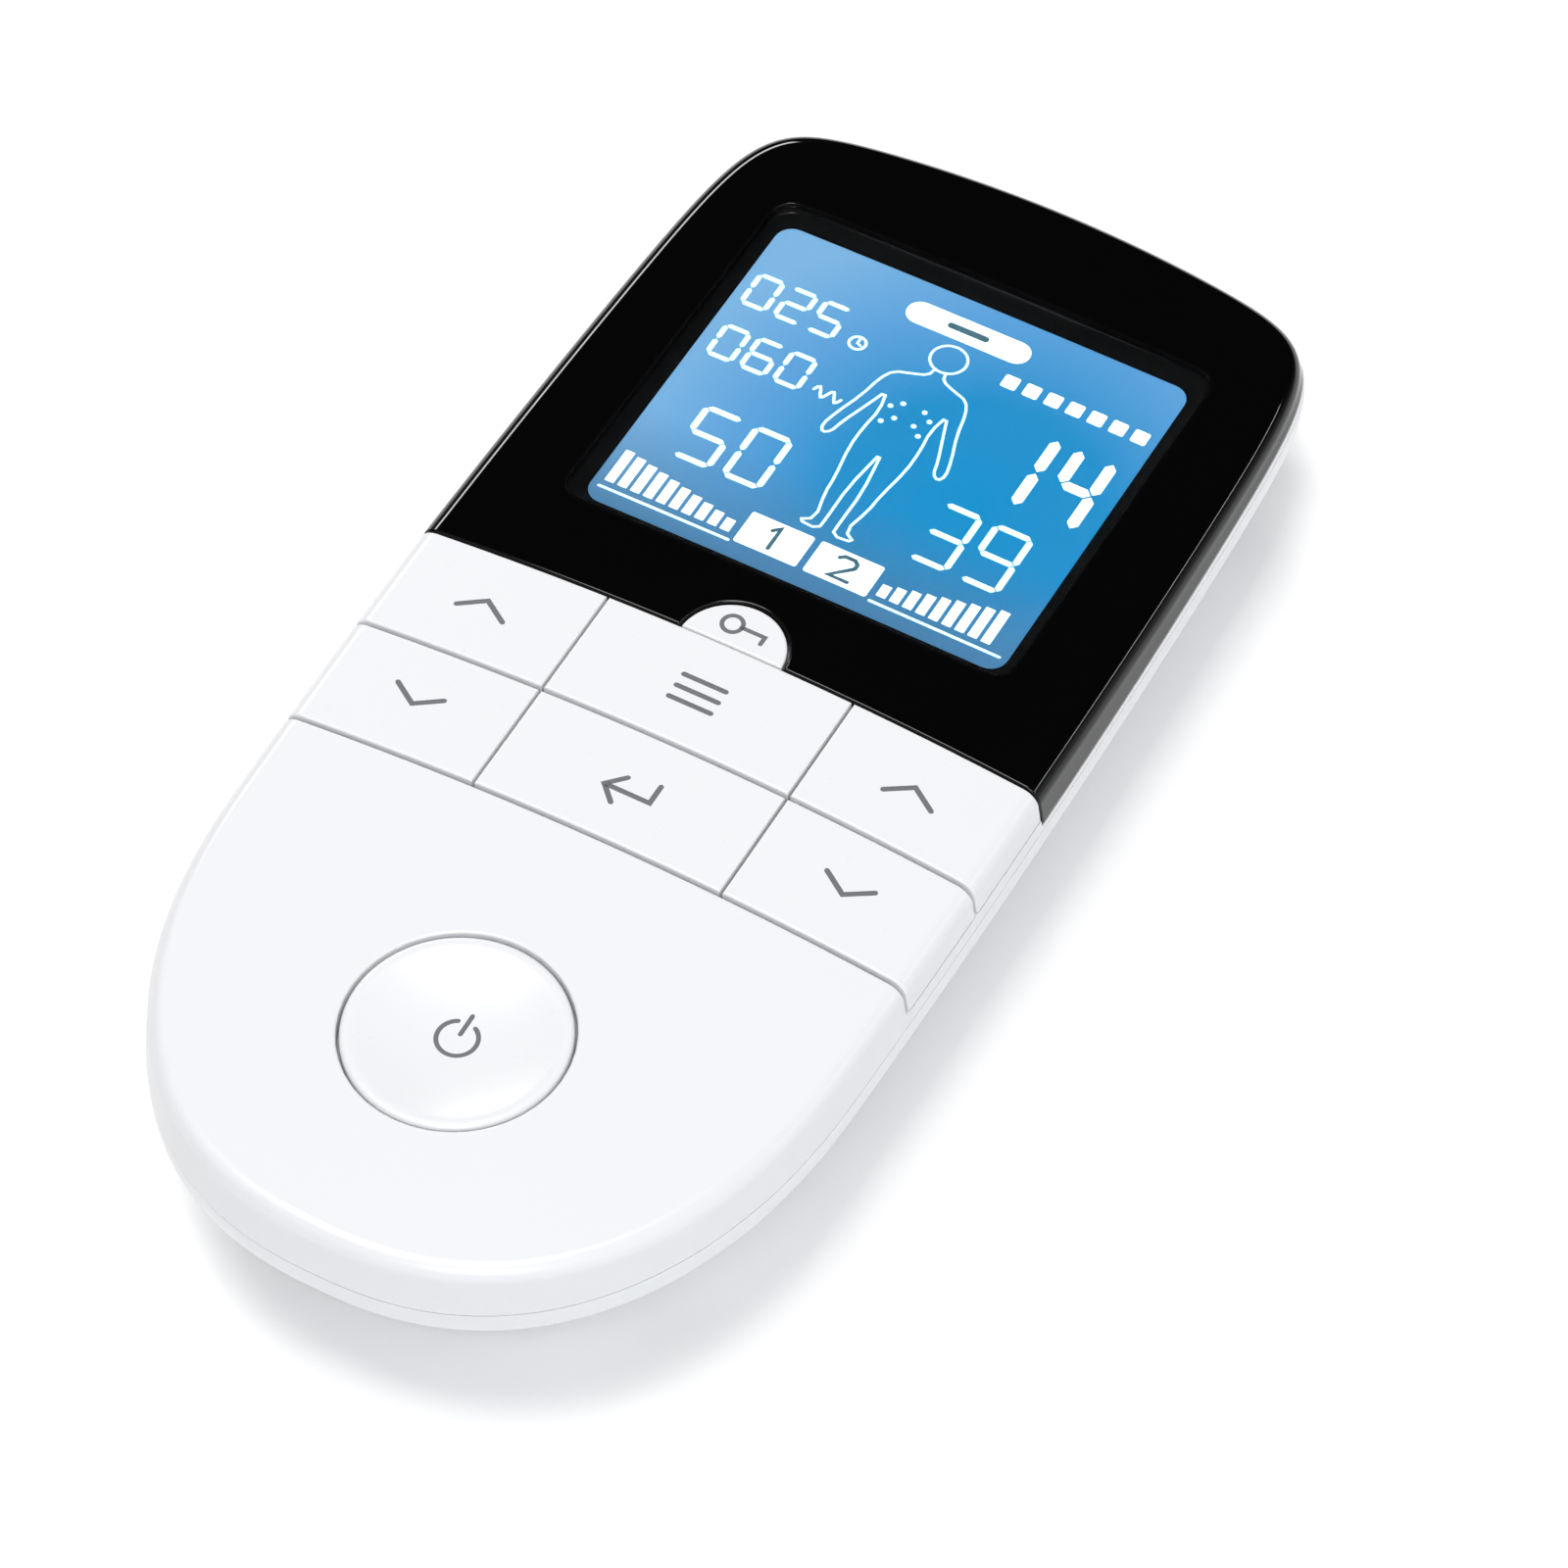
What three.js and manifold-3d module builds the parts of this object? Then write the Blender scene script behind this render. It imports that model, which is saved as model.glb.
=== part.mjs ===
// Two-channel nerve and muscle stimulator, hand-held, lying on its back.
// Frame: millimetres, origin under the middle of the case on the surface it lies on.
// +X to the user's right, +Y towards the display and its sockets, +Z out of the display face.
import * as THREE from "three";
import { mergeVertices } from "three/addons/utils/BufferGeometryUtils.js";
import Module from "manifold-3d";

const wasm = await Module();
wasm.setup();

// Case plan
const CASE_LENGTH = 132;
const CASE_WIDTH = 63;
const WIDEST_Y = 5; // where the two end curves' widths are measured from
const FRONT_CENTRE_Y = -28; // centre of the round front end
const FRONT_ROUNDNESS = 2.35; // 2 is an ellipse, more is squarer
const BACK_ROUNDNESS = 12;
const SIDE_BOW = 0.06; // how much of the width is lost towards both ends
const BACK_BOW = 0.003; // fall of the display end's edge, per mm squared

// Case heights
const CROWN_Z = 20; // highest line of the case, over the keys
const CROWN = 0.0009; // fall of the face towards the sides, per mm squared
const PANEL_FALL = 0.03; // slope of the display panel
const PARTING_Z = 14.5;
const RIM_Z = 12.4; // lower end of the rear shell's upright rim
const EDGE_RADIUS = 1.6;
const SIDE_DRAFT = 0.4;
const PARTING_GAP = 0.06;

// Case walls
const SKIN = 1.5; // caps and display cover
const SEAT_GAP = 0.3; // between the display cover and the housing under it
const WALL = 2;
const REAR_WALL = 1.8;
const FLOOR = 1.4;

// Lines on the face
const PANEL_Y = 4.6; // lower edge of the display cover
const ROW_Y = -7; // gap between the two rows of keys
const KEYS_END_Y = -18.9;
const ROW_BOW = 0.0009; // sweep of these lines towards the front, per mm squared
const COLUMN_X = 12.3; // gaps beside the middle keys
const ROW_GAP = 0.42;
const COLUMN_GAP = 0.3;
const FLAP_FOOT_Z = 15.8; // where the outer keys' side walls end
const FOOT_GAP = 0.12;
const COVER_FOOT_Z = 15.15;

// Display
const WINDOW = { halfWidth: 22.6, low: 13.2, high: 54.2, corner: 2 };
const WINDOW_GAP = 0.03;
const WINDOW_FLOOR_Z = 16.8;
const GLASS = { halfWidth: 24, low: 11.6, high: 56, bottom: 15.1, top: 16.5 };
const HOLDER_RIM = 1.4;
const HOLDER_TOP_Z = 16.65;

// Board
const BOARD_BOTTOM_Z = 13.2;
const BOARD_TOP_Z = 14.2;
const BOARD_INSET = 3.4;
const BOARD_FRONT_Y = -53.5;

// Keys and switches
const POWER_Y = -42.2;
const POWER_RADIUS = 9.95;
const POWER_GAP = 0.3;
const POWER_DISH = 1.05;
const LOCK_RADIUS = 5.12;
const DECK = { bottom: 16, top: 16.8 }; // plate under the keys
const SWITCH_HEIGHT = 1.2;
const SWITCH_SIZE = 6;
const ACTUATOR_RADIUS = 1.2;
const ACTUATOR_TOP_Z = 16.1;
const STEM_RADIUS = 1.7;
const FLAP_STEM_X = 21;
const UPPER_ROW_Y = -1.2;
const LOWER_ROW_Y = -13.2;
const LOCK_SWITCH_Y = 6.6;

// Battery bay
const CELL = { radius: 5.25, length: 44.5, low: -48.5, centre: 6.95, pitch: 10.8, nub: 1.9, nubHeight: 0.9 };
const BAY = { halfWidth: 17.2, front: -51, back: -1.5, top: 12.25, wall: 1.4, roof: 0.8, sill: 2.8 };
const LID = { halfWidth: 18.4, back: -2.4, gap: 0.15 };
const LID_TRAVEL = 12;
const LUG = { inner: 16.3, web: 0.8, lip: 17.9, low: 2.3, high: 3.2, length: 6, clearance: 0.15 };
const LUG_STARTS = [-36, -18];
const CONTACT_THICKNESS = 0.4;

// Sockets in the display end
const JACK_X = 13;
const JACK_Z = 8.6;
const JACK = { halfWidth: 4.5, depth: 12, back: 60, collar: 3.4, mouth: 64.9, bore: 1.25, boreDepth: 11 };

// Screws and their posts
const SCREWS = [
  [-21.3, 59.5],
  [21.3, 59.5],
  [-21.6, -47.6],
  [21.6, -47.6],
];
const POST_RADIUS = 3.1;
const POST_JOIN_Z = 11; // where the two shells' posts meet
const POST_CLEARANCE = 0.25;
const SCREW = { head: 1.9, headHeight: 1.4, shank: 0.95, seat: 8.4, end: 15.3, recess: 2.15 };

const FINE = 40; // segments round a visible circle
const COARSE = 20;
const REACH = 200; // larger than the case
const FLUSH = 0.02;
const MERGE = 0.01; // edges shorter than this are merged away

const MATERIALS = {
  shell: [0xf0f1f3, 0.38, 0],
  key: [0xf2f2f4, 0.36, 0],
  panel: [0x050506, 0.08, 0],
  window: [0xe6eef2, 0.03, 0],
  glass: [0x2f8fc4, 0.12, 0],
  holder: [0x15171a, 0.6, 0],
  guide: [0xcfe8f4, 0.25, 0],
  board: [0x1d5a35, 0.5, 0],
  chip: [0x17181a, 0.55, 0],
  metal: [0xc9ccd0, 0.3, 1],
  copper: [0xa8622f, 0.35, 1],
  rubber: [0x2b2c30, 0.85, 0],
  cell: [0x2c6f55, 0.35, 0.2],
  jack: [0x1b1c1e, 0.45, 0],
};

// ---- solids ----

function toSolid(geometry) {
  const bare = geometry.clone();
  bare.deleteAttribute("normal");
  bare.deleteAttribute("uv");
  const merged = mergeVertices(bare, 1e-5);
  const triVerts = new Uint32Array(merged.index.array);
  const vertProperties = new Float32Array(merged.attributes.position.array);
  return new wasm.Manifold(new wasm.Mesh({ numProp: 3, vertProperties, triVerts }));
}

function toGeometry(solid) {
  const data = solid.simplify(MERGE).getMesh();
  const positions = new Float32Array(data.numVert * 3);
  for (let i = 0; i < data.numVert; i += 1) {
    positions.set(data.vertProperties.subarray(i * data.numProp, i * data.numProp + 3), i * 3);
  }
  const geometry = new THREE.BufferGeometry();
  geometry.setAttribute("position", new THREE.BufferAttribute(positions, 3));
  geometry.setIndex(new THREE.BufferAttribute(new Uint32Array(data.triVerts), 1));
  const faceted = geometry.toNonIndexed();
  faceted.computeVertexNormals();
  return faceted;
}

const group = new THREE.Group();

function addPart(name, solid, look) {
  const [color, roughness, metalness] = MATERIALS[look];
  const material = new THREE.MeshStandardMaterial({ color, roughness, metalness });
  const mesh = new THREE.Mesh(toGeometry(solid), material);
  mesh.name = name;
  group.add(mesh);
}

function block(x, y, z) {
  const geometry = new THREE.BoxGeometry(x[1] - x[0], y[1] - y[0], z[1] - z[0]);
  geometry.translate((x[0] + x[1]) / 2, (y[0] + y[1]) / 2, (z[0] + z[1]) / 2);
  return toSolid(geometry);
}

function prism(points, bottom, top) {
  const shape = new THREE.Shape(points.map(([x, y]) => new THREE.Vector2(x, y)));
  const geometry = new THREE.ExtrudeGeometry(shape, { depth: top - bottom, bevelEnabled: false });
  geometry.translate(0, 0, bottom);
  return toSolid(geometry);
}

function circlePoints(radius, centre, segments) {
  const points = [];
  for (let i = 0; i < segments; i += 1) {
    const angle = (2 * Math.PI * i) / segments;
    points.push([centre[0] + radius * Math.cos(angle), centre[1] + radius * Math.sin(angle)]);
  }
  return points;
}

function disc(radius, centre, bottom, top, segments = COARSE) {
  return prism(circlePoints(radius, centre, segments), bottom, top);
}

// A turned body from [radius, height] points that start and end on the axis, lowest first.
function turned(profile, segments = COARSE) {
  const points = profile.map(([radius, height]) => new THREE.Vector2(radius, height));
  const geometry = new THREE.LatheGeometry(points, segments);
  geometry.rotateX(Math.PI / 2);
  return toSolid(geometry);
}

// The same body with its axis along Y.
function turnedAlongY(profile, segments = COARSE) {
  const points = profile.map(([radius, height]) => new THREE.Vector2(radius, height));
  return toSolid(new THREE.LatheGeometry(points, segments));
}

function roundedRectangle(halfWidth, low, high, corner) {
  const points = [];
  const steps = 5;
  const centres = [
    [halfWidth - corner, high - corner],
    [corner - halfWidth, high - corner],
    [corner - halfWidth, low + corner],
    [halfWidth - corner, low + corner],
  ];
  centres.forEach(([x, y], quarter) => {
    for (let i = 0; i <= steps; i += 1) {
      const angle = (quarter + i / steps) * (Math.PI / 2);
      points.push([x + corner * Math.cos(angle), y + corner * Math.sin(angle)]);
    }
  });
  return points;
}

// ---- case surfaces ----

function endCurve(halfWidth, reach, roundness, angle) {
  const c = Math.cos(angle);
  const s = Math.sin(angle);
  const scale = (Math.abs(c) ** roundness + Math.abs(s) ** roundness) ** (-1 / roundness);
  return [halfWidth * c * scale, reach * s * scale];
}

const BACK_STEPS = 36;
const SIDE_STEPS = 3;
const FRONT_STEPS = 32;

// The case's plan, anticlockwise from the right-hand side, drawn in by insets for its sides and ends.
function plan(insets) {
  const [side, front, back] = insets;
  const halfWidth = CASE_WIDTH / 2 - side;
  const backReach = CASE_LENGTH / 2 - WIDEST_Y - back;
  const frontReach = CASE_LENGTH / 2 + FRONT_CENTRE_Y - front;
  const points = [];
  for (let i = 0; i <= BACK_STEPS; i += 1) {
    const [x, y] = endCurve(halfWidth, backReach, BACK_ROUNDNESS, (Math.PI * i) / BACK_STEPS);
    points.push([x, WIDEST_Y + y - (BACK_BOW * x * x * y) / backReach]);
  }
  for (let i = 1; i < SIDE_STEPS; i += 1) {
    points.push([-halfWidth, WIDEST_Y + ((FRONT_CENTRE_Y - WIDEST_Y) * i) / SIDE_STEPS]);
  }
  for (let i = 0; i <= FRONT_STEPS; i += 1) {
    const angle = Math.PI + (Math.PI * i) / FRONT_STEPS;
    const [x, y] = endCurve(halfWidth, frontReach, FRONT_ROUNDNESS, angle);
    points.push([x, FRONT_CENTRE_Y + y]);
  }
  for (let i = 1; i < SIDE_STEPS; i += 1) {
    points.push([halfWidth, FRONT_CENTRE_Y + ((WIDEST_Y - FRONT_CENTRE_Y) * i) / SIDE_STEPS]);
  }
  return points.map(([x, y]) => {
    const away = (y - WIDEST_Y) / (CASE_LENGTH / 2);
    return [x * (1 - SIDE_BOW * away * away), y];
  });
}

const evenly = (inset) => [inset, inset, inset];

function faceZ(x, y) {
  return CROWN_Z - CROWN * x * x - PANEL_FALL * Math.max(0, y - PANEL_Y);
}

// A closed body through rings of equal length, lowest first, each end closed by a fan.
function loft(rings) {
  const count = rings[0].length;
  const positions = [];
  rings.forEach((ring) => ring.forEach((point) => positions.push(...point)));
  const middle = (ring) => [0, 1, 2].map((k) => ring.reduce((sum, p) => sum + p[k], 0) / count);
  positions.push(...middle(rings[0]), ...middle(rings[rings.length - 1]));
  const lowMiddle = rings.length * count;
  const index = [];
  for (let i = 0; i < count; i += 1) {
    const next = (i + 1) % count;
    for (let r = 0; r + 1 < rings.length; r += 1) {
      const low = r * count;
      const high = low + count;
      index.push(low + i, low + next, high + next);
      index.push(low + i, high + next, high + i);
    }
    const last = (rings.length - 1) * count;
    index.push(lowMiddle, next, i);
    index.push(lowMiddle + 1, last + i, last + next);
  }
  const geometry = new THREE.BufferGeometry();
  geometry.setAttribute("position", new THREE.Float32BufferAttribute(positions, 3));
  geometry.setIndex(index);
  return toSolid(geometry);
}

// Where the rounded edge and the crowned face get a ring: closely outside, sparsely inside.
const OUTSIDE = { edgeAngles: [25, 50, 72, 90], faceInsets: [7, 15, 24] };
const INSIDE = { edgeAngles: [45, 90], faceInsets: [14, 25] };

// The upper half of the case as a solid, drawn in by an inset and lowered by a drop.
function upperBody(inset, drop, bottom) {
  const { edgeAngles, faceInsets } = inset > 0 ? INSIDE : OUTSIDE;
  const edge = Math.max(0.5, EDGE_RADIUS - inset / 2);
  const faceRing = (ringInset, below) =>
    plan(evenly(ringInset)).map(([x, y]) => [x, y, faceZ(x, y) - drop - below]);
  const rings = [plan(evenly(inset)).map(([x, y]) => [x, y, bottom])];
  rings.push(faceRing(inset + SIDE_DRAFT, edge));
  edgeAngles.forEach((degrees) => {
    const angle = THREE.MathUtils.degToRad(degrees);
    rings.push(faceRing(inset + SIDE_DRAFT + edge * (1 - Math.cos(angle)), edge * (1 - Math.sin(angle))));
  });
  faceInsets.forEach((faceInset) => rings.push(faceRing(faceInset, 0)));
  return loft(rings);
}

// The rear shell's outer levels: height and how far the side has drawn in there.
const HULL_LEVELS = [
  [0, 9.4],
  [0.35, 8.7],
  [1.4, 8.1],
  [3, 7.3],
  [6.6, 5.2],
  [11.3, 0.9],
  [11.8, 0.25],
  [RIM_Z, 0],
];
const HULL_FRONT = 1.15; // the front end draws in more than the sides
const HULL_BACK = 0.35; // the socket end stays nearly upright

function hullInsets(side, wall) {
  return [side + wall, side * HULL_FRONT + wall, side * HULL_BACK + wall];
}

function hull(wall, floor, top) {
  const levels = HULL_LEVELS.filter(([z]) => z >= floor);
  const rings = levels.map(([z, side]) =>
    plan(hullInsets(side, wall)).map(([x, y]) => [x, y, z]),
  );
  if (levels[0][0] > floor) {
    rings.unshift(rings[0].map(([x, y]) => [x, y, floor]));
  }
  rings.push(plan(evenly(wall)).map(([x, y]) => [x, y, top]));
  return loft(rings);
}

// ---- regions of the face ----

const rowEdge = (y, x) => y - ROW_BOW * x * x;

// The strip between two swept lines, from one x to another.
function faceRegion(x, low, high) {
  const steps = 8;
  const points = [];
  for (let i = 0; i <= steps; i += 1) {
    const at = x[0] + ((x[1] - x[0]) * i) / steps;
    points.push([at, rowEdge(low, at)]);
  }
  for (let i = steps; i >= 0; i -= 1) {
    const at = x[0] + ((x[1] - x[0]) * i) / steps;
    points.push([at, rowEdge(high, at)]);
  }
  return prism(points, 0, CROWN_Z + 1);
}

const SIDE_REACH = CASE_WIDTH / 2 + 2;
const END_REACH = CASE_LENGTH / 2 + 4;

const outer = upperBody(0, 0, PARTING_Z);
const inner = upperBody(SKIN, SKIN, PARTING_Z - 1);
const skin = outer.subtract(inner);

// ---- outside pieces ----

function lockOutline(radius) {
  return disc(radius, [0, PANEL_Y], 0, CROWN_Z + 1, FINE);
}

function displayHolderBlock(clearance, top) {
  return block(
    [-GLASS.halfWidth - HOLDER_RIM - clearance, GLASS.halfWidth + HOLDER_RIM + clearance],
    [GLASS.low - HOLDER_RIM - clearance, GLASS.high + HOLDER_RIM + clearance],
    [BOARD_TOP_Z, top],
  );
}

function windowPrism(grow) {
  const { halfWidth, low, high, corner } = WINDOW;
  const points = roundedRectangle(halfWidth + grow, low - grow, high + grow, corner + grow);
  return prism(points, BOARD_TOP_Z, CROWN_Z + 1);
}

function displayCover() {
  return skin
    .intersect(faceRegion([-SIDE_REACH, SIDE_REACH], PANEL_Y + ROW_GAP / 2, END_REACH))
    .intersect(block([-REACH, REACH], [-REACH, REACH], [COVER_FOOT_Z, REACH]))
    .subtract(lockOutline(LOCK_RADIUS + COLUMN_GAP / 2))
    .subtract(displayHolderBlock(0.2, HOLDER_TOP_Z + 0.1))
    .subtract(windowPrism(0));
}

function displayWindow() {
  return outer
    .intersect(windowPrism(-WINDOW_GAP))
    .intersect(block([-REACH, REACH], [-REACH, REACH], [WINDOW_FLOOR_Z, REACH]));
}

function keyCap(x, low, high, foot) {
  return skin
    .intersect(faceRegion(x, low + ROW_GAP / 2, high - ROW_GAP / 2))
    .intersect(block([-REACH, REACH], [-REACH, REACH], [foot, REACH]));
}

function stem(x, y) {
  return disc(STEM_RADIUS, [x, y], ACTUATOR_TOP_Z, faceZ(x, y) - SKIN / 2);
}

function flapKey(side, low, high, stemY) {
  const x = side > 0
    ? [COLUMN_X + COLUMN_GAP / 2, SIDE_REACH]
    : [-SIDE_REACH, -COLUMN_X - COLUMN_GAP / 2];
  return keyCap(x, low, high, FLAP_FOOT_Z + FOOT_GAP).add(stem(side * FLAP_STEM_X, stemY));
}

function middleKey(low, high, stemY) {
  const halfWidth = COLUMN_X - COLUMN_GAP / 2;
  return keyCap([-halfWidth, halfWidth], low, high, DECK.top + 0.6).add(stem(0, stemY));
}

function lockKey() {
  const above = faceRegion([-SIDE_REACH, SIDE_REACH], PANEL_Y + ROW_GAP / 2, END_REACH);
  return skin
    .intersect(lockOutline(LOCK_RADIUS - COLUMN_GAP / 2))
    .intersect(above)
    .add(stem(0, LOCK_SWITCH_Y));
}

function powerKey() {
  const top = CROWN_Z - 0.12;
  const dishSteps = 5;
  const dishRadius = POWER_RADIUS - 1.1;
  const underside = CROWN_Z - SKIN - 0.9;
  const profile = [
    [0, ACTUATOR_TOP_Z],
    [STEM_RADIUS, ACTUATOR_TOP_Z],
    [STEM_RADIUS, underside - 0.7],
    [POWER_RADIUS + 0.9, underside - 0.7],
    [POWER_RADIUS + 0.9, underside],
    [POWER_RADIUS, underside],
    [POWER_RADIUS, top - 0.35],
    [POWER_RADIUS - 0.12, top - 0.1],
    [POWER_RADIUS - 0.4, top],
  ];
  for (let i = 0; i < dishSteps; i += 1) {
    const radius = dishRadius * (1 - i / dishSteps);
    const depth = POWER_DISH * (1 - (radius / dishRadius) ** 2);
    profile.push([radius, top - depth]);
  }
  profile.push([0, top - POWER_DISH]);
  return turned(profile, FINE).translate([0, POWER_Y, 0]);
}

const STEMS = [
  [-FLAP_STEM_X, UPPER_ROW_Y],
  [-FLAP_STEM_X, LOWER_ROW_Y],
  [FLAP_STEM_X, UPPER_ROW_Y],
  [FLAP_STEM_X, LOWER_ROW_Y],
  [0, UPPER_ROW_Y],
  [0, LOWER_ROW_Y],
  [0, LOCK_SWITCH_Y],
];

function onlyWithin(solid, y, z) {
  return solid.intersect(block([-REACH, REACH], y, z));
}

function housingCavity() {
  const frontSkin = upperBody(WALL, WALL + 0.2, PARTING_Z - 1);
  const underDeck = upperBody(WALL, WALL + 0.2, PARTING_Z - 1);
  const underCover = upperBody(WALL + SKIN, SKIN * 2, PARTING_Z - 1);
  const deckFront = KEYS_END_Y - 2.4;
  const deckBack = PANEL_Y + 1.6;
  return onlyWithin(frontSkin, [-REACH, deckFront], [0, REACH])
    .add(onlyWithin(underDeck, [deckFront - 1, deckBack + 1], [0, DECK.bottom]))
    .add(onlyWithin(underCover, [deckBack, REACH], [0, REACH]));
}

function screwPost(x, y, bottom, top) {
  return disc(POST_RADIUS, [x, y], bottom, top);
}

function topHousing() {
  const seat = upperBody(SKIN + SEAT_GAP, SKIN + SEAT_GAP, PARTING_Z - 1);
  const coverSeat = faceRegion([-SIDE_REACH, SIDE_REACH], PANEL_Y - 0.4, END_REACH)
    .intersect(block([-REACH, REACH], [-REACH, REACH], [COVER_FOOT_Z - PARTING_GAP, REACH]))
    .subtract(seat);
  const keyWell = faceRegion([-SIDE_REACH, SIDE_REACH], KEYS_END_Y - ROW_GAP / 2, PANEL_Y + 0.8);
  const keySpace = keyWell.intersect(block([-REACH, REACH], [-REACH, REACH], [DECK.top, REACH]));
  const flapSpace = keyWell
    .intersect(block([-REACH, REACH], [-REACH, REACH], [FLAP_FOOT_Z, REACH]))
    .subtract(seat);
  const powerHole = disc(POWER_RADIUS + POWER_GAP, [0, POWER_Y], DECK.bottom, CROWN_Z + 1, FINE);
  let body = outer
    .subtract(housingCavity())
    .intersect(block([-REACH, REACH], [-REACH, REACH], [PARTING_Z + PARTING_GAP, REACH]));
  SCREWS.forEach(([x, y]) => {
    body = body.add(screwPost(x, y, POST_JOIN_Z + PARTING_GAP, faceZ(x, y) - SKIN - 0.6));
  });
  body = body
    .subtract(coverSeat)
    .subtract(keySpace)
    .subtract(flapSpace)
    .subtract(powerHole)
    .subtract(lockOutline(LOCK_RADIUS + 0.4).intersect(
      block([-REACH, REACH], [-REACH, REACH], [DECK.top, REACH]),
    ))
    .subtract(displayHolderBlock(0.25, REACH));
  STEMS.forEach(([x, y]) => {
    body = body.subtract(disc(STEM_RADIUS + 0.35, [x, y], DECK.bottom - 1, CROWN_Z + 1));
  });
  SCREWS.forEach(([x, y]) => {
    body = body.subtract(disc(SCREW.shank + 0.05, [x, y], POST_JOIN_Z - 1, SCREW.end + 0.2, 12));
  });
  return body;
}

// ---- rear shell and lid ----

function lidPlan(grow) {
  return block(
    [-LID.halfWidth - grow, LID.halfWidth + grow],
    [-REACH, LID.back + grow],
    [-1, FLOOR],
  );
}

function lugSpace(side, start, clearance) {
  const inside = (a, b) => (side > 0 ? [a, b] : [-b, -a]);
  const groove = block(
    inside(BAY.halfWidth - FLUSH, LUG.lip + clearance),
    [start - LID_TRAVEL - clearance, start + LUG.length + clearance],
    [LUG.low - clearance, LUG.high + clearance],
  );
  const entry = block(
    inside(BAY.halfWidth - FLUSH, LUG.lip + clearance),
    [start - LID_TRAVEL - clearance, start - LID_TRAVEL + LUG.length + clearance],
    [0, LUG.high + clearance],
  );
  return groove.add(entry);
}

function lug(side, start) {
  const inside = (a, b) => (side > 0 ? [a, b] : [-b, -a]);
  const along = [start, start + LUG.length];
  const web = block(inside(LUG.inner, LUG.inner + LUG.web), along, [FLOOR - 0.3, LUG.high]);
  const lip = block(inside(LUG.inner, LUG.lip), along, [LUG.low, LUG.high]);
  return web.add(lip);
}

function batteryLid() {
  const gripCount = 6;
  const gripPitch = 1.8;
  let body = hull(0, 0, PARTING_Z).intersect(lidPlan(0));
  [-1, 1].forEach((side) => {
    LUG_STARTS.forEach((start) => {
      body = body.add(lug(side, start));
    });
  });
  for (let i = 0; i < gripCount; i += 1) {
    const y = BAY.front + 4 + i * gripPitch;
    body = body.subtract(block([-7, 7], [y, y + gripPitch / 2], [-1, 0.35]));
  }
  return body;
}

function rearHousing() {
  const shell = hull(0, 0, PARTING_Z);
  const hollow = hull(REAR_WALL, FLOOR + 0.3, PARTING_Z + 1);
  const bay = block(
    [-BAY.halfWidth - BAY.wall, BAY.halfWidth + BAY.wall],
    [BAY.front - BAY.wall, BAY.back + BAY.wall],
    [0, BAY.top + BAY.roof],
  ).intersect(shell);
  const sill = block(
    [-BAY.halfWidth - BAY.wall, BAY.halfWidth + BAY.wall],
    [-REACH, BAY.front],
    [0, BAY.sill],
  ).intersect(shell);
  const baySpace = block([-BAY.halfWidth, BAY.halfWidth], [BAY.front, BAY.back], [-1, BAY.top]);
  let body = shell.subtract(hollow).add(bay).add(sill);
  SCREWS.forEach(([x, y]) => {
    body = body
      .add(screwPost(x, y, 0, POST_JOIN_Z).intersect(shell))
      .subtract(disc(POST_RADIUS + POST_CLEARANCE, [x, y], POST_JOIN_Z, PARTING_Z + 1));
  });
  body = body.subtract(baySpace).subtract(lidPlan(LID.gap));
  [-1, 1].forEach((side) => {
    LUG_STARTS.forEach((start) => {
      body = body.subtract(lugSpace(side, start, LUG.clearance));
    });
    body = body.subtract(
      turnedAlongY([[0, 0], [JACK.collar + 0.1, 0], [JACK.collar + 0.1, 8], [0, 8]], 28)
        .translate([side * JACK_X, JACK.back - 0.5, JACK_Z]),
    );
  });
  SCREWS.forEach(([x, y]) => {
    body = body
      .subtract(disc(SCREW.recess, [x, y], -1, SCREW.seat))
      .subtract(disc(SCREW.shank + 0.1, [x, y], 0, PARTING_Z + 1, 12));
  });
  return body;
}

// ---- inside pieces ----

function displayGlass() {
  const { halfWidth, low, high, bottom, top } = GLASS;
  const middle = (bottom + top) / 2;
  const ledge = 2.4;
  return block([-halfWidth, halfWidth], [low, high], [bottom, middle])
    .add(block([-halfWidth, halfWidth], [low, high - ledge], [middle, top]));
}

function displayHolder() {
  const frame = displayHolderBlock(0, HOLDER_TOP_Z)
    .intersect(block([-REACH, REACH], [-REACH, REACH], [BOARD_TOP_Z + FLUSH, REACH]));
  const opening = block(
    [-GLASS.halfWidth - 0.1, GLASS.halfWidth + 0.1],
    [GLASS.low - 0.1, GLASS.high + 0.1],
    [0, REACH],
  );
  return frame.subtract(opening);
}

function mainBoard() {
  let board = prism(plan(evenly(BOARD_INSET)), BOARD_BOTTOM_Z, BOARD_TOP_Z)
    .intersect(block([-REACH, REACH], [BOARD_FRONT_Y, REACH], [0, REACH]));
  SCREWS.forEach(([x, y]) => {
    board = board.subtract(disc(POST_RADIUS + POST_CLEARANCE, [x, y], 0, REACH));
  });
  return board;
}

function keySwitch(x, y, size) {
  const half = size / 2;
  const well = ACTUATOR_RADIUS + 0.25;
  const bottom = BOARD_TOP_Z + FLUSH;
  return block([x - half, x + half], [y - half, y + half], [bottom, BOARD_TOP_Z + SWITCH_HEIGHT])
    .subtract(disc(well, [x, y], BOARD_TOP_Z + 0.25, CROWN_Z, 16));
}

function keyActuator(x, y) {
  return disc(ACTUATOR_RADIUS, [x, y], BOARD_TOP_Z + 0.85, ACTUATOR_TOP_Z - FLUSH, 16);
}

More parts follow.
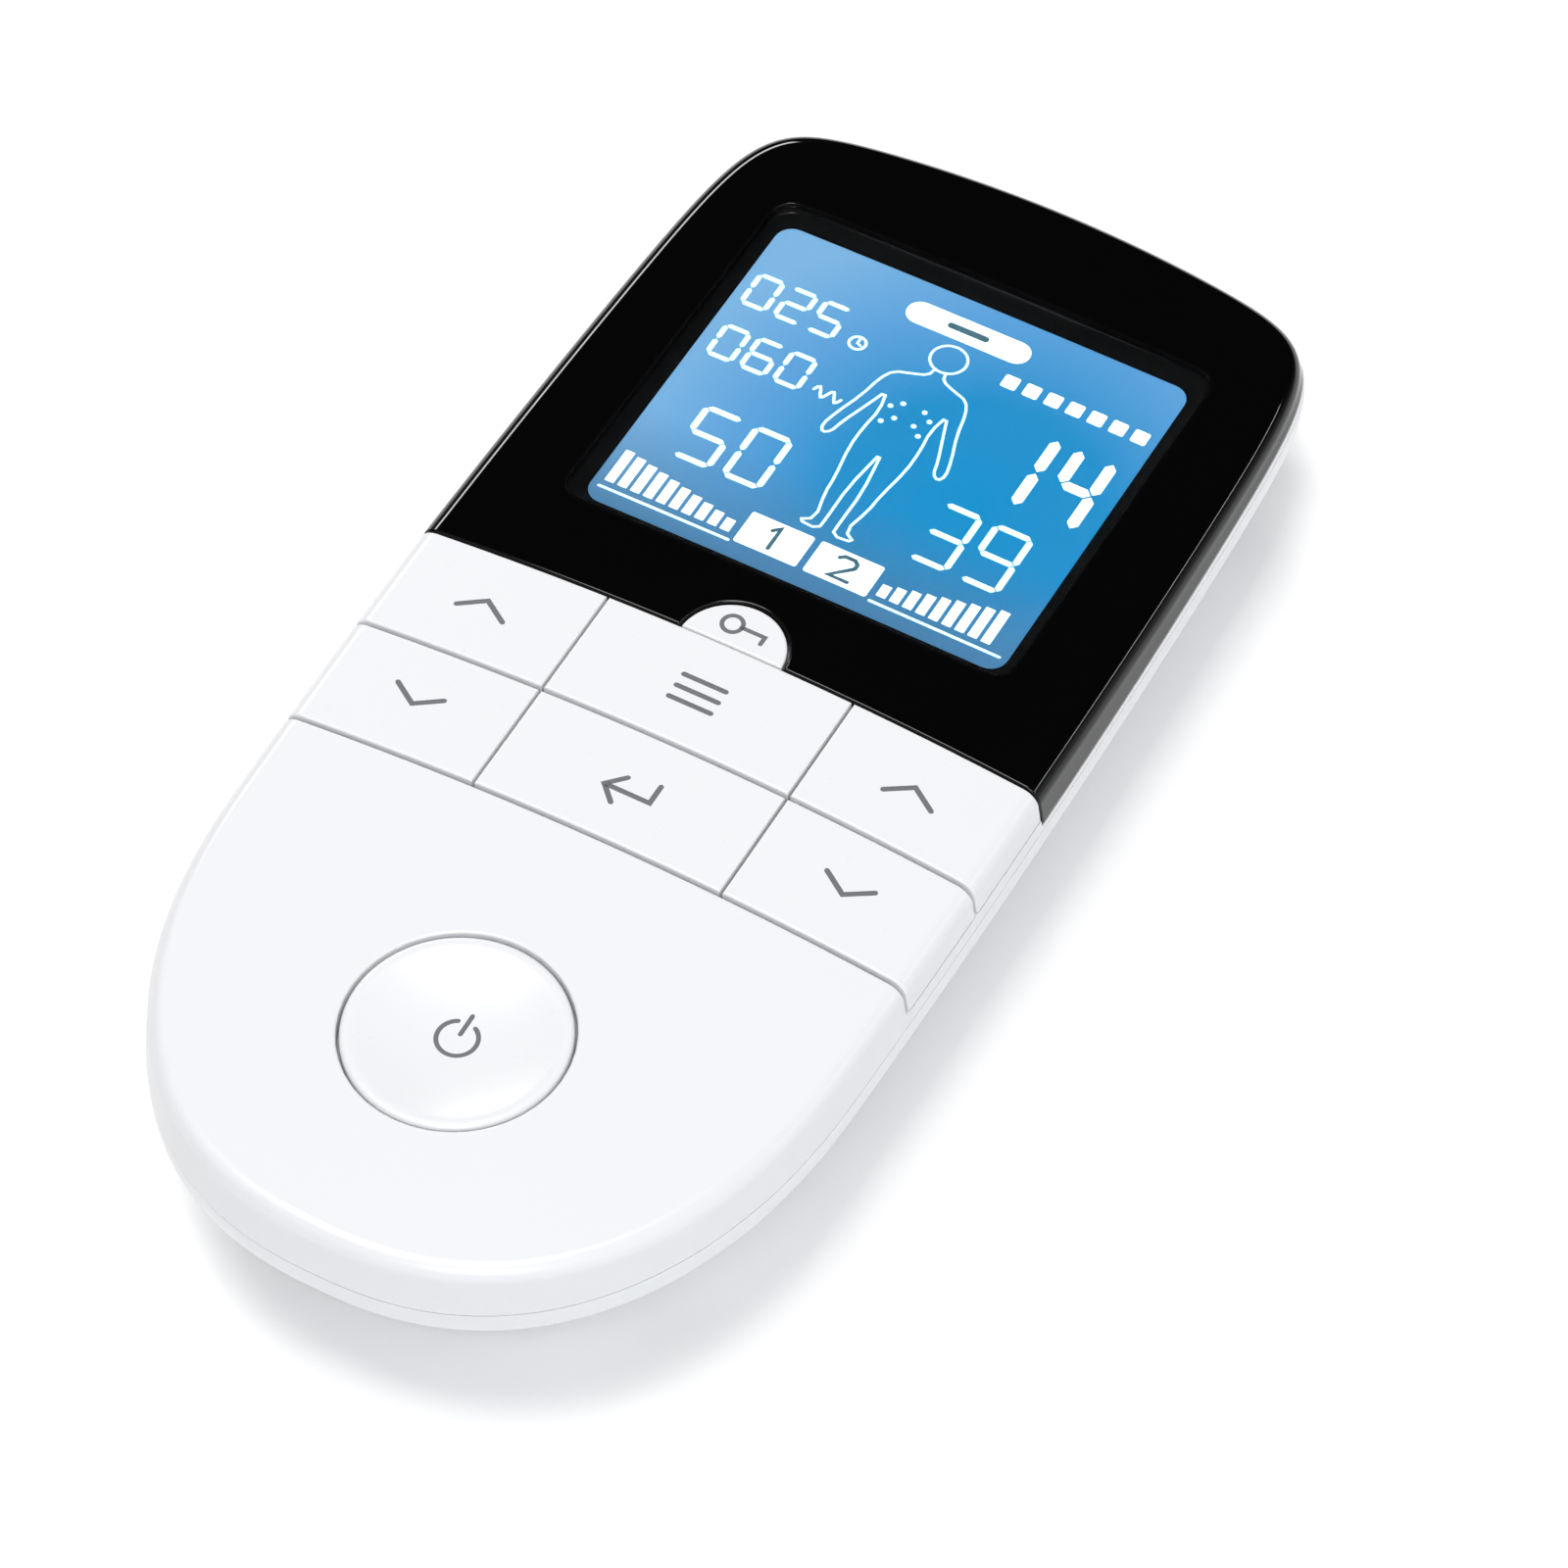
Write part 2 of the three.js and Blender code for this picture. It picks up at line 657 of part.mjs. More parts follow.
function cell(x, positiveAtBack) {
  const { radius, length, nub, nubHeight } = CELL;
  const profile = [
    [0, 0],
    [radius - 0.4, 0],
    [radius, 0.4],
    [radius, length - nubHeight - 0.5],
    [radius - 0.5, length - nubHeight],
    [nub, length - nubHeight],
    [nub, length],
    [0, length],
  ];
  const body = turnedAlongY(profile, 28);
  const placed = positiveAtBack ? body : body.rotate([180, 0, 0]).translate([0, length, 0]);
  return placed.translate([x, CELL.low, CELL.centre]);
}

const PLATE_SINK = 0.1; // how far a contact's spring or dimple is let into its plate
const CONTACT_REACH = CELL.low - BAY.front - CONTACT_THICKNESS - 2 * FLUSH + PLATE_SINK;

// A contact spring or dimple that points along +Y from a plate.
function contactSpring() {
  return turnedAlongY([[0, 0], [3.6, 0], [3.6, 0.5], [2.2, CONTACT_REACH], [0, CONTACT_REACH]], 14);
}

function contactDimple() {
  return turnedAlongY([[0, 0], [2.6, 0], [1.5, CONTACT_REACH], [0, CONTACT_REACH]], 14);
}

// cells: for each cell served, its x and "spring" or "dimple".
function contact(cells, atBack) {
  const plateY = atBack ? BAY.back - FLUSH - CONTACT_THICKNESS : BAY.front + FLUSH;
  const xs = cells.map(([x]) => x);
  const half = 4.2;
  let body = block(
    [Math.min(...xs) - half, Math.max(...xs) + half],
    [plateY, plateY + CONTACT_THICKNESS],
    [CELL.centre - half, CELL.centre + half],
  );
  cells.forEach(([x, kind]) => {
    const feature = kind === "spring" ? contactSpring() : contactDimple();
    const turned = atBack ? feature.rotate([180, 0, 0]) : feature;
    const rootY = atBack ? plateY + PLATE_SINK : plateY + CONTACT_THICKNESS - PLATE_SINK;
    body = body.add(turned.translate([x, rootY, CELL.centre]));
  });
  return body;
}

function outputTransformer(x, y) {
  const top = BOARD_BOTTOM_Z - FLUSH;
  const core = block([x - 6.5, x + 6.5], [y - 5.5, y + 5.5], [top - 9, top - 5.6])
    .add(block([x - 6.5, x + 6.5], [y - 5.5, y + 5.5], [top - 2.2, top]));
  const winding = disc(5.2, [x, y], top - 6, top - 2, COARSE);
  return core.add(winding);
}

function capacitor(x, y) {
  const top = BOARD_BOTTOM_Z - FLUSH;
  return turned(
    [[0, -7.2], [2.7, -7.2], [3.1, -6.8], [3.1, -1.6], [2.8, -1.2], [3.1, -0.8], [3.1, 0], [0, 0]],
    COARSE,
  ).translate([x, y, top]);
}

function buzzer(x, y) {
  const top = BOARD_BOTTOM_Z - FLUSH;
  return disc(5.5, [x, y], top - 3.6, top, 28).subtract(disc(0.9, [x, y], top - 5, top - 2.4, 12));
}

function outputJack(side) {
  const x = side * JACK_X;
  const { halfWidth, depth, back, collar, mouth, bore, boreDepth } = JACK;
  const top = BOARD_BOTTOM_Z - FLUSH;
  const length = mouth - back + 0.5;
  const bevel = 0.4;
  const box = block([x - halfWidth, x + halfWidth], [back - depth, back], [JACK_Z - halfWidth, top]);
  const ring = turnedAlongY(
    [[0, 0], [collar, 0], [collar, length - bevel], [collar - bevel, length], [0, length]],
    28,
  ).translate([x, mouth - length, JACK_Z]);
  const hole = turnedAlongY([[0, 0], [bore, 0], [bore, boreDepth + 1], [0, boreDepth + 1]])
    .translate([x, mouth - boreDepth, JACK_Z]);
  return box.add(ring).subtract(hole);
}

function screw(x, y) {
  const { head, headHeight, shank, seat, end } = SCREW;
  return turned(
    [
      [0, seat - FLUSH - headHeight],
      [head - 0.3, seat - FLUSH - headHeight],
      [head, seat - FLUSH - headHeight + 0.4],
      [head, seat - FLUSH],
      [shank, seat - FLUSH],
      [shank, end - 0.8],
      [0, end],
    ],
    16,
  )
    .subtract(block([-0.35, 0.35], [-1.3, 1.3], [0, seat - headHeight + 0.5]))
    .subtract(block([-1.3, 1.3], [-0.35, 0.35], [0, seat - headHeight + 0.5]))
    .translate([x, y, 0]);
}

// ---- assembly ----

addPart("top_housing", topHousing(), "shell");
addPart("rear_housing", rearHousing(), "shell");
addPart("battery_lid", batteryLid(), "shell");
addPart("display_cover", displayCover(), "panel");
addPart("display_window", displayWindow(), "window");
addPart("lcd_glass", displayGlass(), "glass");
addPart("lcd_holder", displayHolder(), "holder");
addPart("light_guide", block([-23.4, 23.4], [13.6, 53], [BOARD_TOP_Z + FLUSH, 14.95]), "guide");
addPart("backlight_bar", block([-9, 9], [11.9, 13.3], [BOARD_TOP_Z + FLUSH, 14.95]), "chip");
addPart("lcd_connector", block([-20, 20], [53.8, 55.6], [BOARD_TOP_Z + FLUSH, 15.06]), "rubber");
addPart("main_board", mainBoard(), "board");

addPart("key_left_up", flapKey(-1, ROW_Y, PANEL_Y, UPPER_ROW_Y), "key");
addPart("key_left_down", flapKey(-1, KEYS_END_Y, ROW_Y, LOWER_ROW_Y), "key");
addPart("key_right_up", flapKey(1, ROW_Y, PANEL_Y, UPPER_ROW_Y), "key");
addPart("key_right_down", flapKey(1, KEYS_END_Y, ROW_Y, LOWER_ROW_Y), "key");
addPart("key_menu", middleKey(ROW_Y, PANEL_Y, UPPER_ROW_Y), "key");
addPart("key_enter", middleKey(KEYS_END_Y, ROW_Y, LOWER_ROW_Y), "key");
addPart("key_lock", lockKey(), "key");
addPart("key_power", powerKey(), "key");

const SWITCHES = {
  left_up: [-FLAP_STEM_X, UPPER_ROW_Y, SWITCH_SIZE],
  left_down: [-FLAP_STEM_X, LOWER_ROW_Y, SWITCH_SIZE],
  right_up: [FLAP_STEM_X, UPPER_ROW_Y, SWITCH_SIZE],
  right_down: [FLAP_STEM_X, LOWER_ROW_Y, SWITCH_SIZE],
  menu: [0, UPPER_ROW_Y, SWITCH_SIZE],
  enter: [0, LOWER_ROW_Y, SWITCH_SIZE],
  lock: [0, LOCK_SWITCH_Y, 4.5],
  power: [0, POWER_Y, SWITCH_SIZE],
};
Object.entries(SWITCHES).forEach(([name, [x, y, size]]) => {
  addPart(`switch_${name}`, keySwitch(x, y, size), "chip");
  addPart(`actuator_${name}`, keyActuator(x, y), "jack");
});

[-1, 0, 1].forEach((place) => {
  addPart(`cell_${place + 2}`, cell(place * CELL.pitch, place !== 0), "cell");
});
addPart("contact_front_pair", contact([[-CELL.pitch, "spring"], [0, "dimple"]], false), "metal");
addPart("contact_front_single", contact([[CELL.pitch, "spring"]], false), "metal");
addPart("contact_back_single", contact([[-CELL.pitch, "dimple"]], true), "metal");
addPart("contact_back_pair", contact([[0, "spring"], [CELL.pitch, "dimple"]], true), "metal");

const boardFoot = BOARD_BOTTOM_Z - FLUSH;
addPart("controller_chip", block([-6, 6], [18, 30], [boardFoot - 1.2, boardFoot]), "chip");
addPart("clock_crystal", block([9, 13.5], [12, 22], [boardFoot - 1.8, boardFoot]), "metal");
addPart("output_transformer_1", outputTransformer(-16, 38), "copper");
addPart("output_transformer_2", outputTransformer(16, 38), "copper");
addPart("capacitor_1", capacitor(-4.5, 42), "chip");
addPart("capacitor_2", capacitor(4.5, 42), "chip");
addPart("buzzer", buzzer(-16, 18), "jack");
addPart("output_jack_1", outputJack(-1), "jack");
addPart("output_jack_2", outputJack(1), "jack");
SCREWS.forEach(([x, y], i) => addPart(`screw_${i + 1}`, screw(x, y), "metal"));

export default group;
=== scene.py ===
"""A hand-held two-channel nerve and muscle stimulator, lying on its back on a pale floor.

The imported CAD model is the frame. The outside of the case, the display cover and the keys are
rebuilt here as fine curved shells on the same surfaces, and the pieces inside keep their CAD
shape under softened edges. Shapes are worked out in millimetres and become metres in new_piece().
"""
import math
import bpy
import numpy as np
from mathutils import Matrix, Vector


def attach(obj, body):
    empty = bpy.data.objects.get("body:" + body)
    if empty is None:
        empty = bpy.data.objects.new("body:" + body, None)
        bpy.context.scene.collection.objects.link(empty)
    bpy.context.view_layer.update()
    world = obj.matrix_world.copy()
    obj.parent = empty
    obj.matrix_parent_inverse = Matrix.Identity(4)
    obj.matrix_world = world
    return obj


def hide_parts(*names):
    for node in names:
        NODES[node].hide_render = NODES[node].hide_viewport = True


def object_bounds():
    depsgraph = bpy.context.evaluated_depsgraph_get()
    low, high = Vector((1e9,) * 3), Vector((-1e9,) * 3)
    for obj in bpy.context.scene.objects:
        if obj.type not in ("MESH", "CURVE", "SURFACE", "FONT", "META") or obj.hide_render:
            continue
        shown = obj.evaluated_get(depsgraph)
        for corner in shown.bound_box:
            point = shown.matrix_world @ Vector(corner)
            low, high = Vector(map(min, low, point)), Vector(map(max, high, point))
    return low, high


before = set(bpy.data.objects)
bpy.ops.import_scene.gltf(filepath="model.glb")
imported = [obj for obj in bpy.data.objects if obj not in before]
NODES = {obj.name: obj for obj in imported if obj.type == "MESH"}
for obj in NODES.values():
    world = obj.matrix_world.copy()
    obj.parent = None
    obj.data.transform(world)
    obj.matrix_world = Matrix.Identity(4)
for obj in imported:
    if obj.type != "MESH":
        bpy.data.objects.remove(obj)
CAD_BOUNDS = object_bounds()
MM = 0.001

# Case plan and heights, as the CAD has them
HALF_LENGTH = CAD_BOUNDS[1][1] / MM
HALF_WIDTH = CAD_BOUNDS[1][0] / MM
CROWN_Z = CAD_BOUNDS[1][2] / MM
WIDEST_Y = 5
FRONT_CENTRE_Y = -28
FRONT_ROUNDNESS = 2.35
BACK_ROUNDNESS = 12
SIDE_BOW = 0.06
BACK_BOW = 0.003
CROWN = 0.0009
PANEL_FALL = 0.03
PARTING_Z = 14.5
EDGE_RADIUS = 1.6
SIDE_DRAFT = 0.4
HULL_LEVELS = [
    (14.44, 0), (12.4, 0), (11.8, 0.25), (11.3, 0.9), (6.6, 5.2),
    (3, 7.3), (1.4, 8.1), (0.35, 8.7), (0, 9.4),
]
HULL_FRONT = 1.15
HULL_BACK = 0.35

# Lines on the face
PANEL_Y = 4.6
ROW_Y = -7
KEYS_END_Y = -18.9
ROW_BOW = 0.0009
COLUMN_X = 12.3
HALF_ROW_GAP = 0.2
HALF_COLUMN_GAP = 0.13
POWER_Y = -42.2
POWER_RADIUS = 9.95
POWER_HOLE = 10.22
LOCK_RADIUS = 5.12
FLAP_FOOT_Z = 15.87
WELL_FOOT_Z = 15.83
COVER_FOOT_Z = 15.15
COVER_LEDGE_Z = 15.09
WINDOW = dict(half_width=22.57, low=13.23, high=54.17, corner=2)
WINDOW_FLOOR_Z = 16.82

# Fine finish
SUNK = 0.02  # the fine shells stand this far inside the CAD surface
CAP_DEPTH = 1.25
KEY_ROUND = 0.22
INK_RISE = 0.008
INK_DEPTH = 0.03

# ---------------------------------------------------------------- case surfaces


def end_curve(half_width, reach, roundness, angle):
    c, s = np.cos(angle), np.sin(angle)
    scale = (np.abs(c) ** roundness + np.abs(s) ** roundness) ** (-1 / roundness)
    return half_width * c * scale, reach * s * scale


BACK_STEPS = 360
SIDE_STEPS = 26
FRONT_STEPS = 190


def plan(side, front, back):
    """The case's plan, anticlockwise from the right-hand side, drawn in by three insets."""
    half_width = HALF_WIDTH - side
    back_reach = HALF_LENGTH - WIDEST_Y - back
    front_reach = HALF_LENGTH + FRONT_CENTRE_Y - front
    angle = np.linspace(0, np.pi, BACK_STEPS + 1)
    x, y = end_curve(half_width, back_reach, BACK_ROUNDNESS, angle)
    back_part = np.c_[x, WIDEST_Y + y - BACK_BOW * x * x * y / back_reach]
    along = np.linspace(WIDEST_Y, FRONT_CENTRE_Y, SIDE_STEPS + 1)[1:-1]
    left = np.c_[np.full(len(along), -half_width), along]
    x, y = end_curve(half_width, front_reach, FRONT_ROUNDNESS,
                     np.linspace(np.pi, 2 * np.pi, FRONT_STEPS + 1))
    front_part = np.c_[x, FRONT_CENTRE_Y + y]
    right = np.c_[np.full(len(along), half_width), along[::-1]]
    points = np.vstack([back_part, left, front_part, right])
    away = (points[:, 1] - WIDEST_Y) / HALF_LENGTH
    points[:, 0] *= 1 - SIDE_BOW * away ** 2
    return points


def inset_of(x, y):
    """How far inside the case's plan a point lies, found by halving."""
    away = (y - WIDEST_Y) / HALF_LENGTH
    flat_x = np.abs(x / (1 - SIDE_BOW * away ** 2))
    low, high = np.full(len(x), -1.0), np.full(len(x), 31.0)
    for _ in range(26):
        middle = (low + high) / 2
        width = HALF_WIDTH - middle
        back_reach = HALF_LENGTH - WIDEST_Y - middle
        front_reach = HALF_LENGTH + FRONT_CENTRE_Y - middle
        rise = (y - WIDEST_Y) / (1 - BACK_BOW * flat_x ** 2 / back_reach)
        back = (flat_x / width) ** BACK_ROUNDNESS + (rise / back_reach) ** BACK_ROUNDNESS
        fall = np.maximum(FRONT_CENTRE_Y - y, 0)
        front = (flat_x / width) ** FRONT_ROUNDNESS + (fall / front_reach) ** FRONT_ROUNDNESS
        inside = np.where(y > WIDEST_Y, back, front) < 1
        low, high = np.where(inside, middle, low), np.where(inside, high, middle)
    return low


def face_z(x, y):
    return CROWN_Z - SUNK - CROWN * x * x - PANEL_FALL * np.maximum(0, y - PANEL_Y)


def grid_mesh(rings):
    """Points, quads and outward normals of a lofted skin whose last ring closes in a fan."""
    count = len(rings[0])
    points = np.vstack([*rings, rings[-1].mean(0)])
    faces = []
    for r in range(len(rings) - 1):
        low = r * count
        for i in range(count):
            j = (i + 1) % count
            faces.append((low + i, low + j, low + count + j, low + count + i))
    last = (len(rings) - 1) * count
    middle = len(rings) * count
    faces += [(last + i, last + (i + 1) % count, middle) for i in range(count)]
    return points, faces, smooth_normals(points, faces)


def smooth_normals(points, faces):
    normals = np.zeros_like(points)
    for size in (3, 4):
        some = np.array([f for f in faces if len(f) == size])
        if len(some):
            across = points[some[:, 2]] - points[some[:, 0]]
            other = points[some[:, size - 1]] - points[some[:, 1]]
            area = np.cross(across, other if size == 4 else points[some[:, 2]] - points[some[:, 1]])
            for k in range(size):
                np.add.at(normals, some[:, k], area)
    return normals / np.linalg.norm(normals, axis=1, keepdims=True)


SIDE_RINGS = 5
ROUND_RINGS = 12
FACE_INSETS = (2.6, 4, 6.5, 10, 14, 18, 22, 26, 29)
FACE_GRID = 1.5  # lines across the middle of the face, so that curves cut there stay smooth


def upper_skin():
    """The upper half of the case: drafted side, rounded edge and crowned face."""
    foot = plan(0, 0, 0)
    foot = np.c_[foot, np.full(len(foot), PARTING_Z + 0.06)]
    shoulder = plan(SIDE_DRAFT, SIDE_DRAFT, SIDE_DRAFT)
    shoulder = np.c_[shoulder, face_z(*shoulder.T) - EDGE_RADIUS]
    rings = [foot + (shoulder - foot) * t for t in np.linspace(0, 1, SIDE_RINGS)]
    for angle in np.linspace(0, np.pi / 2, ROUND_RINGS)[1:]:
        inset = SIDE_DRAFT + EDGE_RADIUS * (1 - math.cos(angle))
        ring = plan(inset, inset, inset)
        rings.append(np.c_[ring, face_z(*ring.T) - EDGE_RADIUS * (1 - math.sin(angle))])
    for inset in FACE_INSETS:
        ring = plan(inset, inset, inset)
        rings.append(np.c_[ring, face_z(*ring.T)])
    mesh = grid_mesh(rings)
    for y in np.arange(-34, 60, FACE_GRID):
        mesh = split(mesh, lambda p, y=y: p[:, 1] - y, 0)
    for x in np.arange(-7.5, 8, FACE_GRID):
        mesh = split(mesh, lambda p, x=x: p[:, 0] - x, 0)
    return settle_face(split(mesh, lambda p: p[:, 1] - PANEL_Y, 0))


def settle_face(mesh):
    """Puts every point inside the rounded edge on the crowned face, with its exact normal."""
    points, faces, normals = mesh
    x, y = points[:, 0], points[:, 1]
    inside = inset_of(x, y) > SIDE_DRAFT + EDGE_RADIUS - 0.001
    points[inside, 2] = face_z(x, y)[inside]
    exact = np.c_[2 * CROWN * x, np.where(y > PANEL_Y, PANEL_FALL, 0), np.ones(len(x))]
    exact /= np.linalg.norm(exact, axis=1, keepdims=True)
    normals[inside] = exact[inside]
    return points, faces, normals


def rounded_profile(points, times):
    """Corner cutting: each pass trims every corner of an open line, and keeps its ends."""
    line = np.array(points, float)
    for _ in range(times):
        near = line[:-1] * 0.75 + line[1:] * 0.25
        far = line[:-1] * 0.25 + line[1:] * 0.75
        inner = np.stack([near, far], 1).reshape(-1, 2)
        line = np.vstack([line[:1], inner, line[-1:]])
    return line


def rear_skin():
    """The rear half, from its rim down round the belly to the flat it lies on."""
    rings = []
    for z, side in rounded_profile(HULL_LEVELS, 2):
        ring = plan(side, side * HULL_FRONT, side * HULL_BACK)
        rings.append(np.c_[ring, np.full(len(ring), max(z, 0))])
    last = HULL_LEVELS[-1][1]
    for more in (1.5, 4, 8, 12, 16, 19.5):
        ring = plan(last + more, last * HULL_FRONT + more, last * HULL_BACK + more)
        rings.append(np.c_[ring, np.zeros(len(ring))])
    points, faces, normals = grid_mesh(rings)
    return points, [f[::-1] for f in faces], -normals


# ---------------------------------------------------------------- cutting skins along lines


def split(mesh, field, level):
    """Adds the line field = level to a mesh, so that no face crosses it."""
    points, faces, normals = mesh
    value = field(points) - level
    value[np.abs(value) < 1e-6] = 0
    at = value.tolist()
    kept, made, cuts = [], {}, []

    def crossing(a, b):
        key = (min(a, b), max(a, b))
        if key not in made:
            made[key] = len(points) + len(cuts)
            cuts.append(key)
        return made[key]

    for face in faces:
        ends = [at[v] for v in face]
        if min(ends) >= 0 or max(ends) <= 0:
            kept.append(face)
            continue
        low, high = [], []
        for a, b in zip(face, face[1:] + face[:1]):
            if at[a] <= 0:
                low.append(a)
            if at[a] >= 0:
                high.append(a)
            if at[a] * at[b] < 0:
                middle = crossing(a, b)
                low.append(middle)
                high.append(middle)
        kept += [tuple(part) for part in (low, high) if len(part) > 2]
    if not cuts:
        return points, kept, normals
    a, b = np.array(cuts).T
    share = crossing_share(points, a, b, value, field, level)[:, None]
    points = np.vstack([points, points[a] * (1 - share) + points[b] * share])
    normals = np.vstack([normals, normals[a] * (1 - share) + normals[b] * share])
    return points, kept, normals


def crossing_share(points, a, b, value, field, level):
    """How far along each edge a to b the field reaches its level, found by halving."""
    low, high = np.zeros(len(a)), np.ones(len(a))
    for _ in range(22):
        middle = (low + high) / 2
        at = points[a] * (1 - middle[:, None]) + points[b] * middle[:, None]
        first_side = (field(at) - level) * value[a] > 0
        low, high = np.where(first_side, middle, low), np.where(first_side, high, middle)
    return (low + high) / 2


def only(mesh, wanted):
    """The faces whose middle is wanted, with the points that they use."""
    points, faces, normals = mesh
    middles = np.array([points[list(f)].mean(0) for f in faces])
    kept = [f for f, keep in zip(faces, wanted(middles)) if keep]
    used = sorted({v for f in kept for v in f})
    place = {v: i for i, v in enumerate(used)}
    return points[used], [tuple(place[v] for v in f) for f in kept], normals[used]


ON_LINE = 1e-5  # a point this close to a line counts as on it
ROUND_STEPS = (0.0, 0.3, 0.62, 0.86)  # shares of the rounding where its lines lie


def trimmed(mesh, field):
    """The part of a mesh where a field is below 0."""
    return only(split(mesh, field, 0), lambda p: field(p) < ON_LINE)


def with_rounding_lines(mesh, fields, radius):
    """Lines beside each cut, inside the fields for a radius above 0 and outside them below 0."""
    for field in fields:
        for share in ROUND_STEPS:
            mesh = split(mesh, field, -radius * (1 - share))
    return mesh


def cut_out(skin, fields, radius):
    """The part of a skin where every field is below 0, with its cut edges rounded over."""
    mesh = skin
    for field in fields:
        mesh = trimmed(mesh, field)
    mesh = with_rounding_lines(mesh, fields, radius)
    return round_over(mesh, lambda p: np.max([field(p) for field in fields], axis=0), radius)


def round_over(mesh, depth_field, radius):
    """Lowers the border by a quarter circle, and turns its normals to match."""
    points, faces, normals = mesh
    into = np.clip(depth_field(points) + radius, 0, radius)
    drop = radius - np.sqrt(radius ** 2 - into ** 2)
    turned_normals = normals.copy()
    near = np.flatnonzero(into > 1e-6)
    slope = gradient(depth_field, points[near])
    slope -= normals[near] * (slope * normals[near]).sum(1, keepdims=True)
    slope /= np.maximum(np.linalg.norm(slope, axis=1, keepdims=True), 1e-9)
    lean = (into[near] / radius)[:, None]
    turned_normals[near] = normals[near] * np.sqrt(1 - lean ** 2) + slope * lean
    return points - normals * drop[:, None], faces, normals, turned_normals


def gradient(field, points, step=1e-3):
    parts = []
    for axis in range(3):
        shift = np.zeros(3)
        shift[axis] = step
        parts.append((field(points + shift) - field(points - shift)) / (2 * step))
    return np.stack(parts, 1)


class Solid:
    """Points and faces; its first faces may have shading normals of their own, one for each point."""

    def __init__(self, points, faces, skin_faces=0, skin_normals=None):
        self.points = np.asarray(points, float)
        self.faces = faces
        self.skin_faces = skin_faces
        self.skin_normals = skin_normals


def thicken(mesh, depth):
    """A closed solid: the skin, a copy of it set inwards, and walls between their borders."""
    points, faces, normals = mesh[:3]
    count = len(points)
    edges = {}
    for face in faces:
        for a, b in zip(face, face[1:] + face[:1]):
            edges[(a, b)] = edges.get((a, b), 0) + 1
    walls = [(b, a, a + count, b + count) for a, b in edges if (b, a) not in edges]
    inner = [tuple(v + count for v in face[::-1]) for face in faces]
    return Solid(np.vstack([points, points - normals * depth]), faces + inner + walls,
                 len(faces), mesh[-1])


def flat_solid(mesh, bottom):
    """A closed solid: the skin, a flat underside and upright walls between them."""
    solid = thicken(mesh, 0)
    solid.points[len(mesh[0]):, 2] = bottom
    return solid


def join(first, *others):
    """One solid of several, with the first one's shading normals."""
    points, faces = [first.points], list(first.faces)
    for solid in others:
        start = sum(len(p) for p in points)
        points.append(solid.points)
        faces += [tuple(v + start for v in f) for f in solid.faces]
    return Solid(np.vstack(points), faces, first.skin_faces, first.skin_normals)


# ---------------------------------------------------------------- pieces in the scene

SHARP_ANGLE = math.radians(38)


def new_piece(name, solid, material, body, replaces=()):
    """A smooth-shaded mesh object from millimetres, riding on a body."""
    data = bpy.data.meshes.new(name)
    data.from_pydata((solid.points * MM).tolist(), [], solid.faces)
    data.shade_smooth()
    data.set_sharp_from_angle(angle=SHARP_ANGLE)
    if solid.skin_faces:
        shade_skin(data, solid)
    data.materials.append(material)
    piece = bpy.data.objects.new(name, data)
    bpy.context.scene.collection.objects.link(piece)
    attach(piece, body)
    if replaces:
        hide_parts(*replaces)
    return piece


def shade_skin(data, solid):
    """Gives the skin's faces their exact normals, and leaves the others as they are."""
    corners = np.zeros(len(data.loops) * 3, np.float32)
    data.corner_normals.foreach_get("vector", corners)
    corners = corners.reshape(-1, 3)
    last = data.polygons[solid.skin_faces - 1]
    count = last.loop_start + last.loop_total
    at = np.zeros(len(data.loops), np.int32)
    data.loops.foreach_get("vertex_index", at)
    corners[:count] = solid.skin_normals[at[:count]]
    data.normals_split_custom_set(corners.tolist())


# ---------------------------------------------------------------- materials

WORN_REACH = 0.0004  # metres from an edge over which its tone is rubbed


